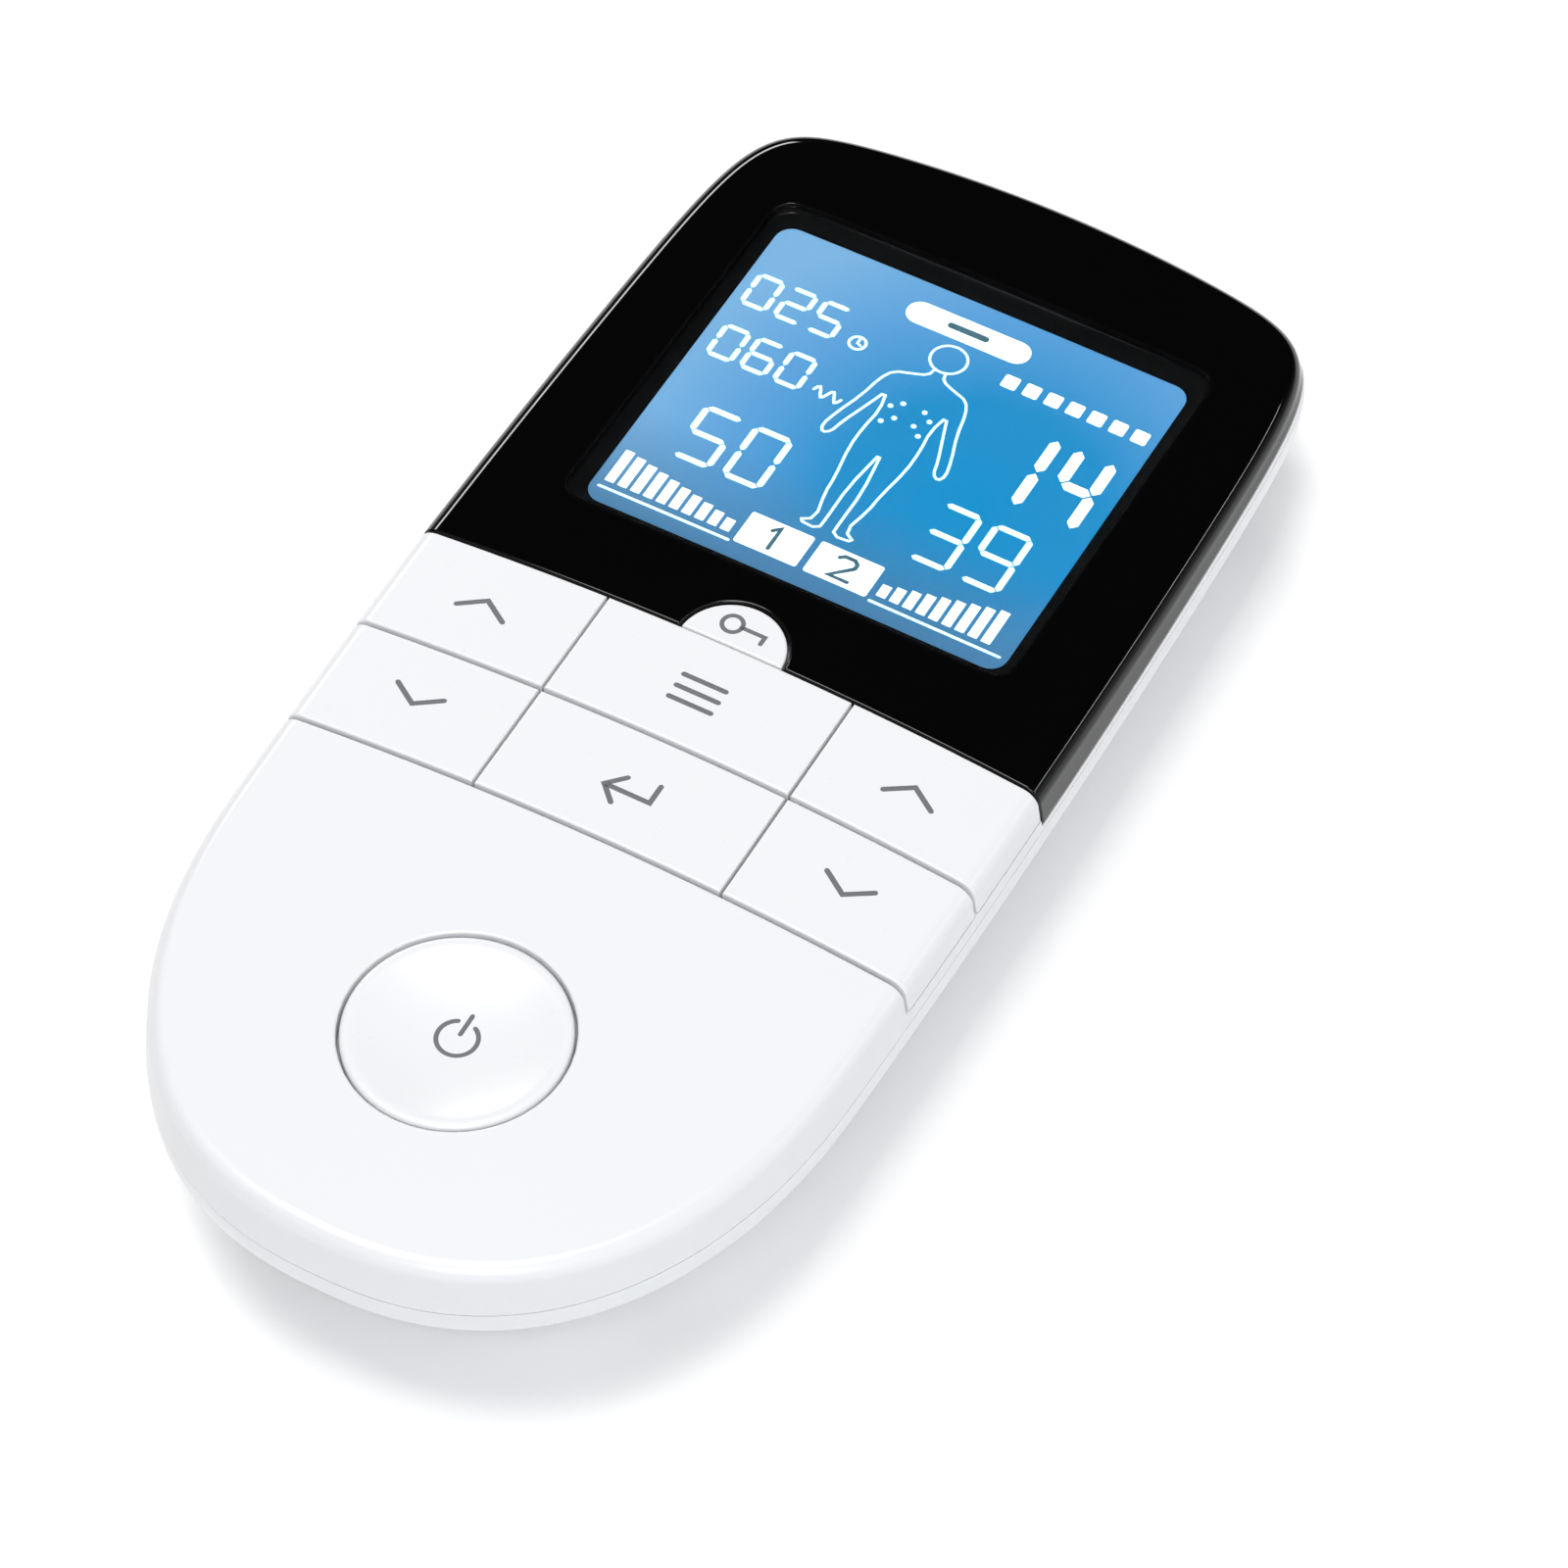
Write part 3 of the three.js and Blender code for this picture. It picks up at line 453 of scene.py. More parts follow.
class Look:
    """A Principled material with helpers for the noise that varies it."""

    def __init__(self, name, colour, roughness, metallic=0.0, ior=1.5):
        self.material = bpy.data.materials.new(name)
        self.material.use_nodes = True
        self.tree = self.material.node_tree
        self.shader = self.tree.nodes["Principled BSDF"]
        self.colour = colour
        self.roughness = roughness
        self.set("Base Color", (*colour, 1))
        self.set("Roughness", roughness)
        self.set("Metallic", metallic)
        self.set("IOR", ior)
        self.place = self.tree.nodes.new("ShaderNodeTexCoord").outputs["Object"]

    def set(self, socket, value):
        self.shader.inputs[socket].default_value = value

    def link(self, source, target):
        self.tree.links.new(source, target)

    def noise(self, scale, detail):
        node = self.tree.nodes.new("ShaderNodeTexNoise")
        node.inputs["Scale"].default_value = scale
        node.inputs["Detail"].default_value = detail
        self.link(self.place, node.inputs["Vector"])
        return node.outputs["Fac"]

    def ramp(self, value, stops):
        node = self.tree.nodes.new("ShaderNodeValToRGB")
        elements = node.color_ramp.elements
        while len(elements) < len(stops):
            elements.new(0.5)
        for element, (position, colour) in zip(elements, stops):
            element.position = position
            element.color = (*colour, 1)
        self.link(value, node.inputs["Fac"])
        return node.outputs["Color"]

    def span(self, value, low, high, start=0.15, end=0.85):
        node = self.tree.nodes.new("ShaderNodeMapRange")
        for socket, number in (("From Min", start), ("From Max", end), ("To Min", low), ("To Max", high)):
            node.inputs[socket].default_value = number
        self.link(value, node.inputs["Value"])
        return node.outputs["Result"]

    def mix(self, factor, tone, colour):
        """From a linked tone to a plain colour. The node's colour sockets go by number."""
        node = self.tree.nodes.new("ShaderNodeMix")
        node.data_type = "RGBA"
        self.link(factor, node.inputs[0])
        self.link(tone, node.inputs[6])
        node.inputs[7].default_value = (*colour, 1)
        return node.outputs[2]

    def mottled(self, scale, amount):
        """Slow, faint changes of tone over the surface."""
        dark = tuple(c * (1 - amount) for c in self.colour)
        tone = self.ramp(self.noise(scale, 4), [(0.15, dark), (0.85, self.colour)])
        self.link(tone, self.shader.inputs["Base Color"])
        return tone

    def worn_edges(self, tone, colour, amount):
        """A rubbed tone along the rounded edges."""
        bevel = self.tree.nodes.new("ShaderNodeBevel")
        bevel.samples = 4
        bevel.inputs["Radius"].default_value = WORN_REACH
        geometry = self.tree.nodes.new("ShaderNodeNewGeometry")
        dot = self.tree.nodes.new("ShaderNodeVectorMath")
        dot.operation = "DOT_PRODUCT"
        self.link(bevel.outputs["Normal"], dot.inputs[0])
        self.link(geometry.outputs["Normal"], dot.inputs[1])
        edge = self.span(dot.outputs["Value"], amount, 0, 0.85, 0.99)
        self.link(self.mix(edge, tone, colour), self.shader.inputs["Base Color"])

    def uneven_gloss(self, scale, spread):
        """Handling marks: the gloss goes up and down by a small spread."""
        marks = self.span(self.noise(scale, 5), self.roughness - spread, self.roughness + spread)
        self.link(marks, self.shader.inputs["Roughness"])

    def bump(self, height, distance, strength=1.0):
        node = self.tree.nodes.new("ShaderNodeBump")
        node.inputs["Distance"].default_value = distance
        node.inputs["Strength"].default_value = strength
        self.link(height, node.inputs["Height"])
        self.link(node.outputs["Normal"], self.shader.inputs["Normal"])


def shell_look(name, colour, roughness):
    look = Look(name, colour, roughness)
    look.worn_edges(look.mottled(45, 0.005), (0.84, 0.84, 0.83), 0.3)
    look.uneven_gloss(420, 0.012)
    look.bump(look.noise(2600, 2), 0.000002, 0.12)
    look.set("Coat Weight", 0.1)
    look.set("Coat Roughness", 0.12)
    return look.material


def panel_look():
    look = Look("panel_gloss_black", (0.0012, 0.0012, 0.0014), 0.06, ior=1.42)
    tone = look.mottled(60, 0.2)
    look.worn_edges(tone, (0.008, 0.008, 0.009), 0.4)
    look.uneven_gloss(90, 0.02)
    look.bump(look.noise(900, 3), 0.000001, 0.15)
    return look.material


def window_look():
    look = Look("window_clear_acrylic", (0.97, 0.985, 1.0), 0.0, ior=1.45)
    look.set("Transmission Weight", 1.0)
    haze = look.span(look.noise(220, 4), 0.04, 0.06)
    look.link(haze, look.shader.inputs["Roughness"])
    look.bump(look.noise(900, 3), 0.000001, 0.15)
    return look.material


def screen_look():
    """The lit display: deepest blue a little right of the middle, paler towards its rim."""
    look = Look("display_blue_backlight", (0.001, 0.03, 0.08), 0.3)
    gradient = look.tree.nodes.new("ShaderNodeTexGradient")
    gradient.gradient_type = "SPHERICAL"
    mapping = look.tree.nodes.new("ShaderNodeMapping")
    mapping.inputs["Location"].default_value = (-0.3, -0.95, -0.47)
    mapping.inputs["Scale"].default_value = (31, 31, 28.5)
    look.link(look.place, mapping.inputs["Vector"])
    look.link(mapping.outputs["Vector"], gradient.inputs["Vector"])
    tone = look.ramp(gradient.outputs["Fac"], [
        (0.0, (0.23, 0.50, 0.78)),
        (0.3, (0.12, 0.38, 0.72)),
        (0.62, (0.012, 0.285, 0.60)),
        (1.0, (0.0, 0.29, 0.61)),
    ])
    apart = look.tree.nodes.new("ShaderNodeSeparateXYZ")
    look.link(look.place, apart.inputs["Vector"])
    tone = look.mix(look.span(apart.outputs["Y"], 1, 0, 0.014, 0.027), tone, (0.07, 0.21, 0.37))
    weave = look.span(look.noise(2600, 2), 0.94, 1.03)
    scaled = look.tree.nodes.new("ShaderNodeVectorMath")
    scaled.operation = "SCALE"
    look.link(tone, scaled.inputs[0])
    look.link(weave, scaled.inputs["Scale"])
    look.link(scaled.outputs["Vector"], look.shader.inputs["Emission Color"])
    look.set("Emission Strength", 1.0)
    return look.material


def lit_look(name, colour, strength):
    look = Look(name, colour, 0.4)
    tone = look.ramp(look.noise(700, 3), [(0.3, tuple(c * 0.9 for c in colour)), (0.7, colour)])
    look.link(tone, look.shader.inputs["Emission Color"])
    look.link(tone, look.shader.inputs["Base Color"])
    look.set("Emission Strength", strength)
    return look.material


def ink_look(name, colour):
    look = Look(name, colour, 0.5)
    look.mottled(900, 0.15)
    look.bump(look.noise(3000, 2), 0.000004, 0.3)
    return look.material


def mask_look():
    """The matt black print under the window's border."""
    look = Look("mask_black_print", (0.0006, 0.0006, 0.0007), 0.6)
    look.mottled(400, 0.3)
    look.bump(look.noise(1800, 2), 0.000002, 0.2)
    look.set("Specular IOR Level", 0.1)
    return look.material


def plain_plastic(name, colour, roughness, grain=2500, depth=0.000008):
    look = Look(name, colour, roughness)
    look.mottled(120, 0.14)
    look.uneven_gloss(300, 0.05)
    look.bump(look.noise(grain, 3), depth, 0.5)
    return look.material


def metal_look(name, colour, roughness):
    look = Look(name, colour, roughness, metallic=1.0)
    look.mottled(300, 0.1)
    look.uneven_gloss(500, 0.08)
    look.bump(look.noise(2200, 2), 0.000006, 0.4)
    return look.material


def winding_look():
    """Enamelled wire wound round an upright core."""
    look = Look("copper_winding", (0.42, 0.13, 0.045), 0.3, metallic=0.9)
    look.mottled(200, 0.25)
    wave = look.tree.nodes.new("ShaderNodeTexWave")
    wave.bands_direction = "Z"
    wave.inputs["Scale"].default_value = 900
    look.link(look.place, wave.inputs["Vector"])
    look.bump(wave.outputs["Fac"], 0.00008, 0.8)
    return look.material


def board_look():
    """Solder mask in a faint pattern of patches, lighter in their middles, raised at their borders."""
    look = Look("board_solder_mask", (0.012, 0.11, 0.045), 0.35)
    cells = look.tree.nodes.new("ShaderNodeTexVoronoi")
    cells.distance = "MANHATTAN"
    cells.inputs["Scale"].default_value = 260
    look.link(look.place, cells.inputs["Vector"])
    tone = look.ramp(cells.outputs["Distance"], [
        (0.25, (0.018, 0.15, 0.06)), (0.45, (0.011, 0.1, 0.042)),
    ])
    look.link(tone, look.shader.inputs["Base Color"])
    look.bump(cells.outputs["Distance"], 0.00002, 0.3)
    return look.material


def sleeve_look():
    """A cell's printed sleeve, dark green with a slight metallic gloss."""
    look = Look("cell_sleeve", (0.02, 0.12, 0.075), 0.3)
    look.mottled(150, 0.12)
    look.set("Metallic", 0.35)
    look.uneven_gloss(200, 0.05)
    look.bump(look.noise(1500, 2), 0.000005, 0.3)
    return look.material


LOOKS = {
    "shell": shell_look("shell_white", (0.72, 0.724, 0.736), 0.3),
    "key": shell_look("key_white", (0.728, 0.731, 0.742), 0.28),
    "panel": panel_look(),
    "window": window_look(),
    "lcd": plain_plastic("display_glass_edge", (0.05, 0.09, 0.14), 0.2),
    "holder": plain_plastic("display_frame_black", (0.008, 0.008, 0.009), 0.6),
    "guide": plain_plastic("light_guide_milky", (0.62, 0.78, 0.86), 0.25, 1200, 0.000004),
    "chip": plain_plastic("chip_moulding", (0.012, 0.012, 0.013), 0.55),
    "rubber": plain_plastic("contact_rubber", (0.02, 0.02, 0.022), 0.85, 1800, 0.00002),
    "board": board_look(),
    "metal": metal_look("plated_steel", (0.62, 0.62, 0.6), 0.28),
    "copper": winding_look(),
    "sleeve": plain_plastic("capacitor_sleeve", (0.01, 0.013, 0.02), 0.35),
    "cell": sleeve_look(),
    "socket": plain_plastic("socket_black", (0.012, 0.012, 0.013), 0.42),
}
INK = ink_look("icon_ink_grey", (0.13, 0.133, 0.14))
SCREEN = screen_look()
SEGMENT = lit_look("segment_pale_cyan", (0.72, 0.98, 0.95), 0.85)
SEGMENT_SOLID = lit_look("segment_white", (0.86, 0.97, 0.97), 0.92)
SEGMENT_DARK = ink_look("segment_unlit", (0.08, 0.22, 0.28))
MASK = mask_look()

# ---------------------------------------------------------------- fields on the skins


def swept_y(p):
    return p[:, 1] + ROW_BOW * p[:, 0] ** 2


def above(y):
    return lambda p: y - swept_y(p)


def below(y):
    return lambda p: swept_y(p) - y


def higher_than(z):
    return lambda p: z - p[:, 2]


def right_of(x):
    return lambda p: x - p[:, 0]


def left_of(x):
    return lambda p: p[:, 0] - x


def within(radius, x, y):
    return lambda p: np.hypot(p[:, 0] - x, p[:, 1] - y) - radius


def outside(radius, x, y):
    return lambda p: radius - np.hypot(p[:, 0] - x, p[:, 1] - y)


def rounded_box_distance(p, half_width, low, high, corner):
    x = np.abs(p[:, 0]) - (half_width - corner)
    y = np.abs(p[:, 1] - (low + high) / 2) - ((high - low) / 2 - corner)
    return np.hypot(np.maximum(x, 0), np.maximum(y, 0)) + np.minimum(np.maximum(x, y), 0) - corner


# ---------------------------------------------------------------- shells and keys

UPPER = upper_skin()


STEM_RADIUS = 1.7
STEM_FOOT_Z = 16.1
STEM_CHAMFER = 0.25
STEM_SIDES = 32
STEM_OVERLAP = 0.3  # how far a stem reaches up into its cap


def stem(x, y, top):
    """The post under a key that meets its switch, with a small chamfer at its foot."""
    radius, foot, sides = STEM_RADIUS, STEM_FOOT_Z, STEM_SIDES
    rings = []
    for r, z in ((radius - STEM_CHAMFER, foot), (radius, foot + STEM_CHAMFER), (radius, top)):
        angle = np.linspace(0, 2 * np.pi, sides, endpoint=False)
        rings.append(np.c_[x + r * np.cos(angle), y + r * np.sin(angle), np.full(sides, z)])
    points = np.vstack(rings)
    faces = [tuple(range(sides))[::-1], tuple(range(2 * sides, 3 * sides))]
    for r in range(2):
        for i in range(sides):
            j = (i + 1) % sides
            faces.append((r * sides + i, r * sides + j, (r + 1) * sides + j, (r + 1) * sides + i))
    return Solid(points, faces)


def key_piece(node, fields, stem_at):
    cap = thicken(cut_out(UPPER, fields, KEY_ROUND), CAP_DEPTH)
    top = CROWN_Z - CAP_DEPTH - CROWN * stem_at[0] ** 2 + STEM_OVERLAP
    solid = join(cap, stem(*stem_at, top))
    return new_piece(node + "_cap", solid, LOOKS["key"], node, [node])


UNDER_COVER = 0.25  # how far the upper row reaches past the cover's line, so that its gap is fine
# Each row's front line, back line and stems' y
ROWS = {"up": (ROW_Y, PANEL_Y + UNDER_COVER, -1.2), "down": (KEYS_END_Y, ROW_Y, -13.2)}
FLAP_STEM_X = 21
LOCK_STEM_Y = 6.6


def make_keys():
    for row, (low, high, stem_y) in ROWS.items():
        between = [above(low + HALF_ROW_GAP), below(high - HALF_ROW_GAP)]
        foot = [higher_than(FLAP_FOOT_Z)]
        edge = COLUMN_X + HALF_COLUMN_GAP
        key_piece(f"key_left_{row}", between + foot + [left_of(-edge)], (-FLAP_STEM_X, stem_y))
        key_piece(f"key_right_{row}", between + foot + [right_of(edge)], (FLAP_STEM_X, stem_y))
        edge = COLUMN_X - HALF_COLUMN_GAP
        node = "key_menu" if row == "up" else "key_enter"
        key_piece(node, between + [left_of(edge), right_of(-edge)], (0, stem_y))
    key_piece(
        "key_lock",
        [within(LOCK_RADIUS - HALF_COLUMN_GAP, 0, PANEL_Y), above(PANEL_Y + HALF_ROW_GAP)],
        (0, LOCK_STEM_Y),
    )


def turned(profile, centre, sides=128):
    """A turned solid from (radius, z) points that start and end on the axis, top first."""
    angle = np.linspace(0, 2 * np.pi, sides, endpoint=False)
    rings = [
        np.c_[centre[0] + r * np.cos(angle), centre[1] + r * np.sin(angle), np.full(sides, z)]
        for r, z in profile[1:-1]
    ]
    ends = np.array([[*centre, profile[0][1]], [*centre, profile[-1][1]]])
    points = np.vstack([*rings, ends])
    top = len(rings) * sides
    faces = []
    for i in range(sides):
        j = (i + 1) % sides
        faces.append((top, i, j))
        for r in range(len(rings) - 1):
            faces.append((r * sides + j, r * sides + i, (r + 1) * sides + i, (r + 1) * sides + j))
        last = (len(rings) - 1) * sides
        faces.append((last + j, last + i, top + 1))
    return Solid(points, faces)


POWER_DISH = 1.05
POWER_TOP = CROWN_Z - 0.12 - SUNK
DISH_RADIUS = POWER_RADIUS - 1.1
POWER_LIP = 0.42  # radius of the rounded rim
LIP_RISE = 0.02  # the rim stands this far above the dish's edge
FLANGE = dict(radius=POWER_RADIUS + 0.85, top=17.58, bottom=16.95)


def dish_z(radius):
    return POWER_TOP - POWER_DISH * (1 - (radius / DISH_RADIUS) ** 2)


def make_power_key():
    """A round button with a shallow dish and a rounded rim, over a flange and a stem."""
    profile = [(DISH_RADIUS * share, dish_z(DISH_RADIUS * share)) for share in (0, *np.linspace(0.06, 1, 18))]
    lip, lip_top = POWER_RADIUS - POWER_LIP, POWER_TOP + LIP_RISE
    profile += [(DISH_RADIUS + 0.25, POWER_TOP + 0.03), (lip, lip_top)]
    for angle in np.radians([22, 45, 68, 90]):
        profile.append((lip + POWER_LIP * math.sin(angle), lip_top - POWER_LIP * (1 - math.cos(angle))))
    profile += [
        (POWER_RADIUS, FLANGE["top"] + 0.04), (FLANGE["radius"], FLANGE["top"]),
        (FLANGE["radius"], FLANGE["bottom"]), (STEM_RADIUS, FLANGE["bottom"]),
        (STEM_RADIUS, 16.3), (1.5, 16.12), (0, 16.12),
    ]
    new_piece("key_power_button", turned(profile, (0, POWER_Y)), LOOKS["key"],
              "key_power", ["key_power"])


def cad_core(node, sink):
    """A CAD node's own shape with its outer surface drawn in, to go under a fine skin."""
    data = NODES[node].data
    points = np.zeros(len(data.vertices) * 3, np.float32)
    data.vertices.foreach_get("co", points)
    points = points.reshape(-1, 3).astype(float) / MM
    return Solid(sink(points), [tuple(p.vertices) for p in data.polygons])


CORE_SINK = 0.16
REAR_SINK = 0.6
ON_SURFACE = 0.12  # a CAD point within this height of the fine surface lies on it


def sink_upper(points):
    """Lowers and narrows what lies on the outer surface of the upper half."""
    x, y, z = points.T
    inset = inset_of(x, y)
    over = np.clip((inset - SIDE_DRAFT) / EDGE_RADIUS, 0, 1)
    surface = face_z(x, y) - EDGE_RADIUS * (1 - np.sqrt(1 - (1 - over) ** 2))
    on_top = (inset > SIDE_DRAFT - 0.02) & (np.abs(z - surface) < ON_SURFACE)
    on_side = (inset < 1.2) & (z > 14) & (on_top | (inset < SIDE_DRAFT + 0.05))
    moved = points.copy()
    moved[on_top, 2] -= CORE_SINK
    moved[on_side, 0] *= 1 - CORE_SINK / HALF_WIDTH
    end = on_side & (np.abs(y - WIDEST_Y) > 45)
    moved[end, 1] *= 1 - CORE_SINK / HALF_LENGTH
    return moved


def make_display_cover():
    mesh = cut_out(trimmed(UPPER, lambda p: -rounded_box_distance(p, **WINDOW)), [
        above(PANEL_Y + HALF_ROW_GAP),
        higher_than(COVER_FOOT_Z),
        outside(LOCK_RADIUS + HALF_COLUMN_GAP, 0, PANEL_Y),
    ], KEY_ROUND)
    new_piece("display_cover_gloss", thicken(mesh, CAP_DEPTH), LOOKS["panel"], "case",
              ["display_cover"])


WINDOW_SIDE_GAP = 0.015


def make_window():
    pane = dict(WINDOW, half_width=WINDOW["half_width"] - WINDOW_SIDE_GAP)
    mesh = trimmed(UPPER, lambda p: rounded_box_distance(p, **pane))
    new_piece("display_window_clear", flat_solid(mesh, WINDOW_FLOOR_Z), LOOKS["window"], "case",
              ["display_window"])


def make_top_housing():
    """The white upper shell: the palm end, and the strips under the keys and the cover."""
    front = below(KEYS_END_Y - HALF_ROW_GAP)
    under_keys = lambda p: np.maximum(p[:, 2] - WELL_FOOT_Z, swept_y(p) - PANEL_Y)
    under_cover = lambda p: p[:, 2] - COVER_LEDGE_Z
    hole = outside(POWER_HOLE, 0, POWER_Y)
    mesh = UPPER
    for line in (front, lambda p: p[:, 2] - WELL_FOOT_Z, below(PANEL_Y), under_cover):
        mesh = split(mesh, line, 0)
    wanted = lambda p: np.minimum(np.minimum(front(p), under_keys(p)), under_cover(p)) < ON_LINE
    mesh = trimmed(only(mesh, wanted), hole)
    for share in ROUND_STEPS:
        for line in (front, hole):
            mesh = split(mesh, line, -KEY_ROUND * (1 - share))
    high = lambda p: np.where(p[:, 2] > WELL_FOOT_Z + 0.01, front(p), -1)
    mesh = round_over(mesh, lambda p: np.maximum(high(p), hole(p)), KEY_ROUND)
    solid = join(thicken(mesh, CAP_DEPTH), cad_core("top_housing", sink_upper))
    new_piece("top_housing_shell", solid, LOOKS["shell"], "case", ["top_housing"])


# ---------------------------------------------------------------- flat marks


def ribbon(points, width, closed=False):
    """A strip of one width along a line, with mitred bends and round ends."""
    line = np.array(points, float)
    count = len(line)
    half = width / 2
    steps = np.roll(line, -1, 0) - line if closed else np.diff(line, axis=0)
    steps /= np.linalg.norm(steps, axis=1, keepdims=True)
    before = np.roll(steps, 1, 0) if closed else np.vstack([steps[:1], steps])
    after = steps if closed else np.vstack([steps, steps[-1:]])
    side = before + after
    side /= np.linalg.norm(side, axis=1, keepdims=True)
    stretch = 1 / np.maximum((side * after).sum(1), 0.5)
    across = np.c_[-side[:, 1], side[:, 0]] * (half * stretch)[:, None]
    points = [*(line + across), *(line - across)]
    faces = []
    for i in range(count if closed else count - 1):
        j = (i + 1) % count
        faces.append((i, count + i, count + j, j))
    if not closed:
        for end, first, second, start in (
            (line[0], 0, count, math.atan2(*(across[0][::-1]))),
            (line[-1], 2 * count - 1, count - 1, math.atan2(*(-across[-1][::-1]))),
        ):
            arc = [start + math.pi * k / 6 for k in range(1, 6)]
            added = len(points)
            points += [end + half * np.array([math.cos(a), math.sin(a)]) for a in arc]
            faces.append((first, *range(added, added + 5), second))
    return np.array(points), faces


def ring_line(centre, radius, start=0, end=360, steps=48):
    angle = np.radians(np.linspace(start, end, steps, endpoint=abs(end - start) < 360))
    return np.c_[centre[0] + radius * np.cos(angle), centre[1] + radius * np.sin(angle)]


def polygon(points):
    return np.array(points, float), [tuple(range(len(points)))]


def rounded_bar(low, high, corner):
    (x0, y0), (x1, y1) = low, high
    corners = ((x1 - corner, y1 - corner), (x0 + corner, y1 - corner),
               (x0 + corner, y0 + corner), (x1 - corner, y0 + corner))
    points = []
    for quarter, (x, y) in enumerate(corners):
        for a in np.radians(np.linspace(quarter * 90, quarter * 90 + 90, 7)):
            points.append((x + corner * math.cos(a), y + corner * math.sin(a)))
    return polygon(points)


def marks(shapes, top, depth):
    """Closed thin plates from flat shapes, laid on the surface z = top(x, y)."""
    flat = join(*[Solid(np.c_[p, np.zeros(len(p))], f) for p, f in shapes])
    points, faces = flat.points, flat.faces
    lifted = np.c_[points[:, :2], top(points[:, 0], points[:, 1])]
    down = np.tile([0.0, 0.0, 1.0], (len(lifted), 1))
    return thicken((lifted, faces, down), depth)


ICON_LINE = 0.5
FINE_ICON_LINE = 0.42


def on_face(x, y):
    return face_z(x, y) + INK_RISE


def in_dish(x, y):
    return dish_z(np.hypot(x, y - POWER_Y)) + INK_RISE


def fine(line, step=0.35):
    """The same line with points no further apart than a step."""
    line = np.array(line, float)
    points = [line[0]]
    for a, b in zip(line[:-1], line[1:]):
        parts = max(1, math.ceil(np.linalg.norm(b - a) / step))
        points += [a + (b - a) * k / parts for k in range(1, parts + 1)]
    return points


CHEVRON = (2.35, 1.55)  # half width and height
CHEVRON_X = 21.4
CHEVRON_Y = {"up": -1.6, "down": -13.1}


def make_icons():
    for side, sign in (("left", -1), ("right", 1)):
        for row, turn in (("up", 1), ("down", -1)):
            x, y = sign * CHEVRON_X, CHEVRON_Y[row]
            half, tall = CHEVRON
            foot, tip = y - turn * tall / 2, y + turn * tall / 2
            line = [(x - half, foot), (x, tip), (x + half, foot)]
            place_icon(f"icon_{side}_{row}", [ribbon(fine(line), ICON_LINE)], f"key_{side}_{row}")
    bars = [ribbon(fine([(-2.1, y), (2.1, y)]), ICON_LINE) for y in (0.1, -1.25, -2.6)]
    place_icon("icon_menu", bars, "key_menu")
    hook = [(2.3, -11.6), (2.3, -13.6), (-2.2, -13.6)]
    barb = [(-0.7, -12.1), (-2.2, -13.6), (-0.7, -15.1)]
    place_icon("icon_enter", [ribbon(fine(hook), ICON_LINE), ribbon(fine(barb), ICON_LINE)], "key_enter")
    bow = ribbon(ring_line((-1.15, 7.05), 0.95), FINE_ICON_LINE, closed=True)
    blade = ribbon(fine([(-0.25, 7.05), (2.1, 7.05), (2.1, 6.2)]), FINE_ICON_LINE)
    place_icon("icon_lock", [bow, blade], "key_lock")
    ring = ribbon(ring_line((0, POWER_Y), 1.8, 118, 422), FINE_ICON_LINE)
    bar = ribbon(fine([(0, POWER_Y + 0.5), (0, POWER_Y + 2.55)]), FINE_ICON_LINE)
    place_icon("icon_power", [ring, bar], "key_power", in_dish)


def place_icon(name, shapes, body, top=on_face):
    new_piece(name, marks(shapes, top, INK_DEPTH), INK, body)


# ---------------------------------------------------------------- the display

SCREEN_AREA = dict(half_width=21.1, low=14.8, high=52, corner=1.7)
SCREEN_Z = 16.56
SEGMENT_Z = 16.6
MASK_Z = 16.74

SEGMENTS = {
    "0": "abcdef", "1": "bc", "2": "abged", "3": "abgcd", "4": "fgbc",
    "5": "afgcd", "6": "afgedc", "9": "abcdfg",
}


def digit(character, x, y, width, height, stroke):
    """One seven-segment figure, its lower left corner at x, y."""
    half = stroke / 2
    gap = stroke * 0.12
    left, right = x + half, x + width - half
    low, middle, high = y + half, y + height / 2, y + height - half
    ends = {
        "a": ((left, high), (right, high)), "g": ((left, middle), (right, middle)),
        "d": ((left, low), (right, low)), "f": ((left, middle), (left, high)),
        "b": ((right, middle), (right, high)), "e": ((left, low), (left, middle)),
        "c": ((right, low), (right, middle)),
    }
    shapes = []
    for name in SEGMENTS[character]:
        start, end = (np.array(p, float) for p in ends[name])
        along = (end - start) / np.linalg.norm(end - start)
        across = np.array([-along[1], along[0]]) * half
        start, end = start + along * gap, end - along * gap
        shapes.append(polygon([
            start, start + along * half - across, end - along * half - across,
            end, end - along * half + across, start + along * half + across,
        ]))
    return shapes


def number(text, x, y, width, height, stroke, pitch):
    shapes = []
    for i, character in enumerate(text):
        shapes += digit(character, x + i * pitch, y, width, height, stroke)
    return shapes


BODY_HALF = [
    (0.55, 43.7), (0.75, 42.7), (2.2, 42.1), (3.7, 41.6), (4.4, 40.2), (4.9, 37.4), (5.9, 34.3),
    (6.3, 32.4), (5.9, 31.6), (5.2, 32.1), (4.9, 33.6), (3.9, 36.6), (3.1, 39.1), (2.6, 36.6),
    (2.9, 33.9), (2.9, 31.2), (2.3, 27.2), (2.2, 25.2), (1.5, 22.0), (2.9, 21.1), (0.7, 20.9),
    (0.65, 22.6), (0.7, 26.8), (0.12, 31.4),
]
HEAD = ((0.0, 45.35), 1.75)  # centre and radius
BODY_LINE = 0.26
PADS = [(1.1, 38.4), (2.0, 37.6), (1.0, 36.4), (1.9, 35.5)]


